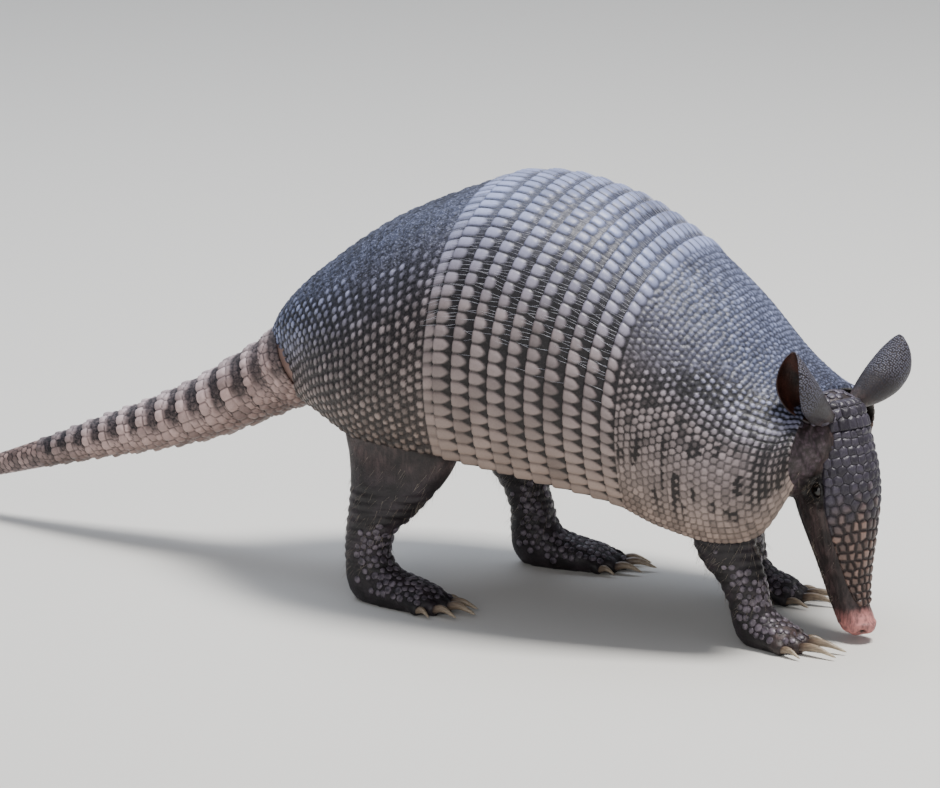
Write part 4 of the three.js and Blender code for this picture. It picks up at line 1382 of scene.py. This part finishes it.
def buildRing(number, start, end):
    first = number == 1
    radius = along(tail["radii"], 0.5 * (start + end))[0, 0]
    columns = max(int(2 * math.pi * radius / tail["spacing"]), 24)
    start, begin = (0.0, 0.0) if first else (start, start - 0.012)
    shares = np.linspace(begin, end, int((end - begin) * tailLength / tail["spacing"]))
    turns = np.linspace(0, 2 * math.pi, columns, endpoint=False)
    share, angle = np.meshgrid(shares, turns, indexing="ij")
    points = tailPoint(share, angle, 0.4).reshape(-1, 3)
    index, _, edge = nearestCells(points, ringSeeds(start, end))
    luck = rng.uniform(0, 1, index.max() + 1)[index]
    f = ((share - start) / (end - start)).ravel()
    stretches = stretchesOf(start, end)
    part = np.where(f < 0, f, np.clip(f * stretches - np.floor(np.clip(f, 0, 0.999) * stretches), 0, 1))
    upward = np.cos(angle).ravel()
    top = smooth(-0.4, 0.1, upward + 0.35 * (luck - 0.5))
    # towards the tip the rings are painted darker, as shade, and flare less
    tip = smooth(7.5, 12, number + 1.5 * (luck - 0.5))
    # the underside is painted darker, as shade
    under = 1 - smooth(-0.95, -0.35, upward)
    plate = (0.26 + 0.74 * smooth(0.1, 0.5, edge)) * (0.78 + 0.22 * luck)
    nearBody = (0.85 if first else 1) * (1 - smooth(0.4, 0.58, part + 0.16 * (luck - 0.5)))
    specks = 0.25 + 0.35 * smooth(0.5, 0.8, softNoise(points, 1.3, 4))
    light = plate * (1 - (1 - 0.5 * specks) * top * nearBody) * (1 - 0.55 * tip) * (1 - 0.35 * under)
    light = light * (1 - smooth(0.94, 0.99, part)) * np.maximum(smooth(0.0, 0.08, part), first * (f < 0.15))
    dome = smooth(0.0, 0.7, edge) * 0.4 + smooth(0.5, 2.4, edge) * 0.55
    height = dome * (1 - 0.6 * top * nearBody) * (1 - 0.4 * tip)
    scallop = smooth(0.88, 1.0, f) * (1 - smooth(0.1, 1.2, edge))
    lift = tail["flare"] * (1 - 0.45 * tip) * np.clip(part, 0, 1) ** 0.8 - 1.1 * (f < 0) - 0.55
    lift = lift + height - scallop - 0.9 * smooth(0.95, 1.0, f)
    if first:
        opened = (1 - smooth(0.0, 0.75, f)) * (0.35 + 0.65 * smooth(-0.9, 0.2, upward))
        lift = lift + tail["rootFlare"] * opened
    outer = tailPoint(share, angle, lift.reshape(share.shape))
    back = np.linspace(end - 0.0008, begin, 4)[:, None]
    inner = tailPoint(back, turns, np.where(back < start, -3.4, -2.1))
    v = np.append(np.linspace(0.12, 1, len(shares)), np.linspace(0.1, 0, len(back)))
    piece = tube(f"tailRing{number}", np.concatenate([outer, inner]), v, True)
    # the zone runs from the underside to the top, where the pale tone has its painted sheen
    writeFields(piece, light=light, zone=0.42 + 0.3 * upward, chance=luck)
    finish(piece, tailHorn, "tail_armour", f"tail_ring_{number}")


def buildTailTip():
    begin, end = tail["ringsEnd"] - 0.008, 0.998
    shares = np.linspace(begin, end, int((end - begin) * tailLength / 0.6))
    turns = np.linspace(0, 2 * math.pi, tail["tipColumns"], endpoint=False)
    share, angle = np.meshgrid(shares, turns, indexing="ij")
    seeds, at = [], begin
    while at < end:
        radius = along(tail["radii"], at)[0, 0]
        pitch = np.interp(radius, [1.2, 8], [1.7, 4.2])
        turn = turnsAt(radius, pitch, 5, len(seeds))
        seeds.append(tailPoint(at + rng.normal(0, 0.0008, len(turn)), turn, 0.3))
        at += 0.9 * pitch / tailLength
    points = tailPoint(share, angle, 0.3).reshape(-1, 3)
    index, _, edge = nearestCells(points, np.concatenate(seeds))
    luck = rng.uniform(0, 1, index.max() + 1)[index]
    fine = np.interp(share.ravel(), [begin, end], [1.0, 0.35])
    light = smooth(0.15 * fine, 0.55 * fine, edge) * (0.25 + 0.45 * luck)
    lift = 0.34 * fine * smooth(0.0, 0.7, edge / fine) - 0.3 * fine
    outer = tailPoint(share, angle, lift.reshape(share.shape) - 0.7 * smooth(0.985, 0.998, share))
    rings = [tailPoint(begin, turns, -5.0)[None], outer, tailPoint(0.999, turns, -1.15)[None]]
    piece = tube("tailTip", np.concatenate(rings), np.linspace(0, 1, len(shares) + 2))
    zone = np.full(light.shape, 0.45)
    for key, values, pad in (("light", light, 0.2), ("zone", zone, 0.4), ("chance", luck, 0.5)):
        writeField(piece, key, np.pad(values, len(turns), constant_values=pad))
    finish(piece, tailHorn, "tail_armour", "tail_tip")


tailTones = dict(hornTones, darkLow="241a17", darkHigh="1c191f", lightLow="a08579", lightMiddle="c4a8a2",
                 paleTopSheen="b5aab0", grime="6b564a")
tailHorn = hornMaterial("tailHorn", tailTones, 0.42)
starts = ringStarts()
for number in range(1, tail["rings"] + 1):
    buildRing(number, starts[number - 1], starts[number])
buildTailTip()
print("tail made")


# claws

claws = {"rings": 14, "sides": 14, "rootInside": 2.6}


def clawRings(root, heading, length, radius, clawLength):
    # a horn that springs from inside the toe, arches and ends in a blunt point
    base = radius * 0.6
    side = unit(np.cross([0, 0, 1.0], heading))
    rings = []
    for u in np.linspace(0, 1, claws["rings"]):
        reach = length - claws["rootInside"] + (clawLength + claws["rootInside"]) * u
        v = max((reach - length) / clawLength, 0)
        height = base * 1.2 + base * 1.1 * math.sin(2.6 * v) * (1 - v) - 1.2 * v * v
        height = max(height, 1.2)
        thick = base * (1.05 - 0.88 * v ** 1.3) * (0.35 if u == 1 else 1)
        wide = base * (0.9 - 0.74 * v ** 1.2) * (0.35 if u == 1 else 1)
        centre = root + heading * reach + np.array([0, 0, height])
        turn = np.linspace(0, 2 * math.pi, claws["sides"], endpoint=False)[:, None]
        up = np.cos(turn) * thick
        up = np.where(up < 0, up * 0.7, up)
        ring = centre + up * np.array([0, 0, 1.0]) + np.sin(turn) * wide * side
        rings.append(np.column_stack([ring[:, :2], np.maximum(ring[:, 2], 0.05)]))
    return rings


def buildClaws(key):
    mesh = bmesh.new()
    toes = toesOf(key)
    for toe in toes:
        addLoft(mesh, clawRings(*toe))
    bmesh.ops.recalc_face_normals(mesh, faces=mesh.faces)
    piece = fromBmesh("claws" + key[0].upper() + key[1:], mesh)
    piece.data.shade_smooth()
    reach = np.repeat(np.linspace(0, 1, claws["rings"]), claws["sides"])
    writeField(piece, "reach", np.tile(reach, len(toes)))
    end, side = key[:4], key[4:].lower()
    finish(piece, clawHorn, "claw", *[f"{end}_claw_{side}_{i + 1}" for i in range(len(toes))])


def clawMaterial():
    material, tree, shader = newMaterial("clawHorn", 0.5, 0.15, 0.3)
    reach = fieldOf(tree, "reach")
    streak = noiseOf(tree, 0.6, 3, (0.2, 1, 1))
    colour = mixOf(tree, spread(tree, reach, 0.15, 0.9), tone("6d5b4c"), tone("b5a58c"))
    colour = mixOf(tree, spread(tree, streak, 0.4, 0.65, 0.45, 0.0), colour, tone("3a2d26"))
    colour = mixOf(tree, spread(tree, reach, 0.12, 0.25, 0.8, 0.0), colour, tone("2c211d"))
    paint(tree, shader, colour, spread(tree, streak, 0.3, 0.7, 0.3, 0.5), (streak, 0.4, 0.15))
    return material


clawHorn = clawMaterial()
for key in feet["places"]:
    buildClaws(key)
print("claws made")


# hair and small scales, grown with Geometry Nodes

def newTree(name, inputs):
    # a node group with a geometry in and out, a material and the named number inputs
    tree = bpy.data.node_groups.new(name, "GeometryNodeTree")
    tree.interface.new_socket("Geometry", in_out="INPUT", socket_type="NodeSocketGeometry")
    tree.interface.new_socket("Material", in_out="INPUT", socket_type="NodeSocketMaterial")
    for key, value in inputs.items():
        kind = "NodeSocketInt" if isinstance(value, int) else "NodeSocketFloat"
        tree.interface.new_socket(key, in_out="INPUT", socket_type=kind).default_value = value
    tree.interface.new_socket("Geometry", in_out="OUTPUT", socket_type="NodeSocketGeometry")
    return tree, nodeOf(tree, "NodeGroupInput").outputs


def namedField(tree, name, kind="FLOAT"):
    node = nodeOf(tree, "GeometryNodeInputNamedAttribute", {"data_type": kind}, Name=name)
    return node.outputs["Attribute"]


def hairShape(tree, width, bend):
    # one hair of length 1 along Z, three sided, tapered and bent towards X
    line = nodeOf(tree, "GeometryNodeCurvePrimitiveLine", End=(0, 0, 1)).outputs["Curve"]
    fine = nodeOf(tree, "GeometryNodeResampleCurve", Curve=line, Count=6).outputs["Curve"]
    share = nodeOf(tree, "GeometryNodeSplineParameter").outputs["Factor"]
    lean = calc(tree, "MULTIPLY", calc(tree, "MULTIPLY", share, share), bend)
    offset = nodeOf(tree, "ShaderNodeCombineXYZ", X=lean).outputs["Vector"]
    bent = nodeOf(tree, "GeometryNodeSetPosition", Geometry=fine, Offset=offset).outputs["Geometry"]
    taper = calc(tree, "MULTIPLY", width, calc(tree, "SUBTRACT", 1.0, calc(tree, "MULTIPLY", share, 0.86)))
    profile = nodeOf(tree, "GeometryNodeCurvePrimitiveCircle", Resolution=3, Radius=1.0).outputs["Curve"]
    return nodeOf(tree, "GeometryNodeCurveToMesh", Curve=bent, Profile_Curve=profile, Fill_Caps=True,
                  Scale=taper).outputs["Mesh"]


def turnTo(tree, lie, up):
    # a rotation whose Z is along one direction and whose X is as near as can be to another
    first = nodeOf(tree, "FunctionNodeAlignRotationToVector", {"axis": "Z"}, Vector=lie)
    return nodeOf(tree, "FunctionNodeAlignRotationToVector", {"axis": "X", "pivot_axis": "Z"},
                  Rotation=first.outputs["Rotation"], Vector=up).outputs["Rotation"]


def closeTree(tree, source, points, shape, rotation, scale):
    # a shape on each point, made real and given the material
    copies = nodeOf(tree, "GeometryNodeInstanceOnPoints", Points=points, Instance=shape, Rotation=rotation,
                    Scale=scale).outputs["Instances"]
    real = nodeOf(tree, "GeometryNodeRealizeInstances", Geometry=copies).outputs["Geometry"]
    painted = nodeOf(tree, "GeometryNodeSetMaterial", Geometry=real, Material=source["Material"])
    nodeOf(tree, "NodeGroupOutput", Geometry=painted.outputs["Geometry"])
    return tree


def hairTree(name, settings):
    # a hair at every vertex, along its lie, as long as its span
    tree, source = newTree(name, settings)
    points = nodeOf(tree, "GeometryNodeMeshToPoints", Mesh=source["Geometry"]).outputs["Points"]
    length = calc(tree, "MULTIPLY", namedField(tree, "span"), mm)
    size = nodeOf(tree, "ShaderNodeCombineXYZ", X=mm, Y=mm, Z=length).outputs["Vector"]
    lie, up = (namedField(tree, key, "FLOAT_VECTOR") for key in ("lie", "up"))
    hair = hairShape(tree, source["Width"], source["Bend"])
    return closeTree(tree, source, points, hair, turnTo(tree, lie, up), size)


def scaleTree(name, settings):
    # a low dome at points spread over the faces, as many as the field called scaly allows
    tree, source = newTree(name, settings)
    spots = nodeOf(tree, "GeometryNodeDistributePointsOnFaces", {"distribute_method": "POISSON"},
                   Mesh=source["Geometry"], Distance_Min=source["Spacing"], Density_Max=900000.0,
                   Density_Factor=namedField(tree, "scaly"), Seed=source["Seed"]).outputs
    dome = nodeOf(tree, "GeometryNodeMeshUVSphere", Segments=source["Segments"], Rings=source["Rings"],
                  Radius=source["Radius"]).outputs["Mesh"]
    flat = nodeOf(tree, "ShaderNodeCombineXYZ", X=1.0, Y=1.0, Z=source["Height"]).outputs["Vector"]
    lucky = nodeOf(tree, "FunctionNodeRandomValue", {"data_type": "FLOAT"})
    for socket in lucky.inputs:
        if socket.name in ("Min", "Max") and socket.type == "VALUE":
            socket.default_value = 0.7 if socket.name == "Min" else 1.1
    feed(tree, lucky.inputs["Seed"], source["Seed"])
    chance = [socket for socket in lucky.outputs if socket.type == "VALUE"][0]
    size = nodeOf(tree, "ShaderNodeVectorMath", {"operation": "SCALE"}, Vector=flat, Scale=chance)
    return closeTree(tree, source, spots["Points"], dome, spots["Rotation"], size.outputs["Vector"])


def grow(name, seedPiece, tree, settings, material):
    # the tree's result on a piece as a plain mesh; the piece goes, and its modifier with it
    growth = seedPiece.modifiers.new(name, "NODES")
    growth.node_group = tree
    sockets = {item.name: item.identifier for item in tree.interface.items_tree
               if item.item_type == "SOCKET" and item.in_out == "INPUT"}
    for key, value in dict(settings, Material=material).items():
        growth[sockets[key]] = value
    piece = applied(seedPiece, name)
    for field in list(piece.data.attributes):
        if field.data_type in ("FLOAT", "FLOAT_VECTOR") and not (field.is_internal or field.is_required):
            piece.data.attributes.remove(field)
    print(name, "has", len(piece.data.polygons), "faces")
    return piece


def patchUv(piece, roots):
    # every hair or scale is a small patch at its root's place on the unwrapped skin
    each = len(piece.data.vertices) // len(roots)
    local = np.tile(np.linspace(0, 1, each), len(roots))
    patch = 0.003 * np.stack([local * 7 % 1, local], -1)
    writeUv(piece, np.clip(np.repeat(roots, each, axis=0) + patch, 0, 1)[cornersOf(piece)])


def growHair(name, settings, material, uv, roots, lies, ups, spans):
    cloud = makeObject(name + "Seeds", roots + bodyShift, [])
    for key, vectors in (("lie", lies), ("up", ups)):
        field = cloud.data.attributes.new(key, "FLOAT_VECTOR", "POINT")
        field.data.foreach_set("vector", np.ascontiguousarray(vectors, np.float32).ravel())
    writeField(cloud, "span", spans)
    piece = grow(name, cloud, hairTree(name, settings), settings, material)
    patchUv(piece, uv)
    finish(piece, material, "skin")


def hairMaterial(name, dark, pale):
    material, tree, shader = newMaterial(name, 0.5)
    tint = mixOf(tree, spread(tree, noiseOf(tree, 5, 2), 0.35, 0.65), tone(dark), tone(pale))
    paint(tree, shader, tint, 0.35, (noiseOf(tree, 0.4, 2), 0.3, 0.05))
    return material


bandHair = {"Width": 0.085, "Bend": 0.06}
hairRow = {"perScute": 3.6, "reach": 84, "length": (0.35, 0.8)}


def buildBandHair():
    # rows of pale hairs from under every free edge, over the dark front of the plate behind
    step = 1 / shell["bands"]
    rows = []
    for row in range(shell["bands"] + 1):
        low = 1 + row * step
        half = math.radians(hairRow["reach"])
        count = int(hairRow["perScute"] * shell["scutesRound"] * hairRow["reach"] / rimDegrees)
        angle = np.linspace(-half, half, count) + rng.normal(0, 0.006, count)
        keep = rng.uniform(0, 1, count) > smooth(62, 86, np.degrees(np.abs(angle)))
        angle = angle[keep]
        count = len(angle)
        back = rng.uniform(*hairRow["length"], count)
        drift = rng.normal(0.006, 0.009, count) * np.sign(angle + 1e-9)
        root = raisedShell(low + 0.02 * step, angle, 0.45)
        behind = low - back * step
        lift = band["freeEdge"] * back ** 1.2 * (1 if row else 0.2) + band["relief"] * 0.5 + 0.35
        end = raisedShell(behind, angle + drift, lift)
        around = 0.03 + 0.94 * (angle + math.pi) / (2 * math.pi)
        rows.append((np.stack([around, np.full(count, 0.05 + 0.09 * row)], -1), root, unit(end - root),
                     -shellNormal(np.full(count, low), angle), np.linalg.norm(end - root, axis=1)))
    growHair("bandHair", bandHair, hairMaterial("paleHair", "8d8e9c", "d3d5df"),
             *(np.concatenate(part) for part in zip(*rows)))


def unrolled(points):
    # the skin rolled out flat by quarters, one limb to a quarter, each round its own middle
    quarter = 2 * (points[:, 0] > 60) + (points[:, 1] > 0)
    centres = np.array([[points[quarter == q, 0].mean() if (quarter == q).any() else 0,
                         points[quarter == q, 1].mean() if (quarter == q).any() else 0] for q in range(4)])
    offset = points[:, :2] - centres[quarter]
    turn = (np.arctan2(offset[:, 1], offset[:, 0]) + math.pi) / (2 * math.pi)
    return np.stack([0.01 + 0.25 * quarter + 0.23 * turn, np.clip(points[:, 2] / 150, 0.01, 0.98)], -1)


def buildScales(name, mask, settings, material):
    base = placed(name + "Seeds", skin.data.copy())
    writeField(base, "scaly", mask)
    piece = grow(name, base, scaleTree(name, settings), settings, material)
    each = settings["Segments"] * (settings["Rings"] - 1) + 2
    patchUv(piece, unrolled(coordsOf(piece).reshape(-1, each, 3).mean(1)))
    piece.data.shade_smooth()
    finish(piece, material, "skin")


def buildBristles():
    # sparse pale bristles on the belly, the legs and the cheeks
    points, normals = coordsOf(skin), normalsOf(skin)
    station, angle, reach = headPlace(points)
    onHead = (station > 0.02) & (reach < 1.5)
    chin = onHead & (station > 0.25) & (station < 0.85) & (np.degrees(np.abs(angle)) > 70)
    low = ~onHead & (points[:, 2] > 14) & (points[:, 2] < 92) & (points[:, 0] > -160)
    weight = (1.0 * low * (normals[:, 2] < 0.3) + 0.5 * chin) * np.exp(-((points[:, 2] - 62) / 60) ** 2)
    chosen = rng.choice(len(points), bristle["count"], False, weight / weight.sum())
    roots, out = points[chosen], normals[chosen]
    lie = np.array([-0.55, 0, -0.83]) + rng.normal(0, 0.18, roots.shape)
    lie = unit(lie - out * (lie * out).sum(-1, keepdims=True))
    lie = unit(lie + 0.42 * out)
    spans = rng.uniform(*bristle["length"], len(roots)) * np.where(onHead[chosen], 0.4, 1)
    spans = np.minimum(spans, 0.8 * roots[:, 2])
    growHair("bristles", bristle["tree"], hairMaterial("paleBristle", "6f6259", "b3a797"), unrolled(roots),
             roots, lie, -out, spans)


def scaleMaterial(name, dark, pale):
    material, tree, shader = newMaterial(name, 0.4, 0.08, 0.3)
    tint = mixOf(tree, spread(tree, noiseOf(tree, 3.2, 3), 0.36, 0.64), tone(dark), tone(pale))
    paint(tree, shader, tint, 0.42, (noiseOf(tree, 0.6, 3), 0.4, 0.12))
    return material


legScales = {"Spacing": 0.0034, "Radius": 0.00215, "Height": 0.22, "Segments": 7, "Rings": 4, "Seed": 4}
napeScales = {"Spacing": 0.0042, "Radius": 0.0026, "Height": 0.3, "Segments": 10, "Rings": 6, "Seed": 2}
bristle = {"count": 2400, "length": (3, 8.5), "tree": {"Width": 0.07, "Bend": 0.1}}
buildBandHair()
skinPoints, skinNormals = coordsOf(skin), normalsOf(skin)
headStation, _, headReach = headPlace(skinPoints)
offHead = 1 - (headStation > 0.0) * (headReach < 1.6)
front = smooth(-0.55, 0.1, skinNormals[:, 0] + 0.5 * skinNormals[:, 2])
legMask = 1 - smooth(34, 56, skinPoints[:, 2] + 10 * softNoise(skinPoints, 9, 3))
legMask = smooth(5, 9, skinPoints[:, 2]) * legMask
buildScales("legScales", legMask * front * offHead * (skinPoints[:, 0] > -150), legScales,
            scaleMaterial("legHorn", "2e2930", "6c636c"))
napeMask = smooth(108, 113, skinPoints[:, 2]) * (skinPoints[:, 0] > 188) * (skinPoints[:, 2] < 134)
outerEar, innerEar = (readAll(skin.data.attributes[key].data, "value") for key in ("outerEar", "innerEar"))
napeMask = napeMask * (outerEar + innerEar < 0.05)
buildScales("napeScales", napeMask, napeScales, scaleMaterial("napeHorn", "2e2a31", "5b5562"))
buildBristles()
print("hair and small scales grown")


# floor, light and camera

studio = {
    "centre": (0.060, 0.0, 0.100),
    "azimuth": 26,
    "elevation": 14,
    "distance": 2.8,
    "lens": 209.1,
    "floor": 6,               # half its side, in metres
    # place, size, power and colour
    "keyLight": ((0.75, 0.15, 2.0), 0.55, 70, (1.0, 0.97, 0.94)),
    "skyLight": ((-0.7, 0.6, 1.9), 1.6, 24, (0.8, 0.87, 1.0)),
    "fillLight": ((0.6, -2.3, 0.9), 1.6, 15, (1.0, 0.97, 0.95)),
    "roomTint": (0.86, 0.9, 1.0, 1),
    "roomStrength": 0.34,
}


def makeStudio():
    far = studio["floor"] / mm
    corners = [(-far, -far, 0), (far, -far, 0), (far, far, 0), (-far, far, 0)]
    floor = makeObject("floor", corners, [(0, 1, 2, 3)])
    material, tree, shader = newMaterial("floorPaint", 0.2)
    paint(tree, shader, tone("d9d8d3"), 0.85)
    floor.data.materials.append(material)

    a, e = math.radians(studio["azimuth"]), math.radians(studio["elevation"])
    centre = Vector(studio["centre"])
    back = Vector((math.sin(a) * math.cos(e), -math.cos(a) * math.cos(e), math.sin(e)))
    camera = placed("camera", bpy.data.cameras.new("camera"))
    camera.data.lens = studio["lens"]
    camera.data.sensor_width = 36
    camera.data.clip_end = 50
    camera.location = centre + back * studio["distance"]
    camera.rotation_euler = back.to_track_quat("Z", "Y").to_euler()
    bpy.context.scene.camera = camera

    for name in ("keyLight", "skyLight", "fillLight"):
        lamp = placed(name, bpy.data.lights.new(name, "AREA"))
        lamp.location, lamp.data.size, lamp.data.energy, lamp.data.color = studio[name]
        lamp.rotation_euler = (lamp.location - centre).to_track_quat("Z", "Y").to_euler()
    world = bpy.data.worlds.new("softRoom")
    world.use_nodes = True
    background = world.node_tree.nodes["Background"]
    background.inputs["Color"].default_value = studio["roomTint"]
    background.inputs["Strength"].default_value = studio["roomStrength"]
    bpy.context.scene.world = world


makeStudio()
print("studio made")
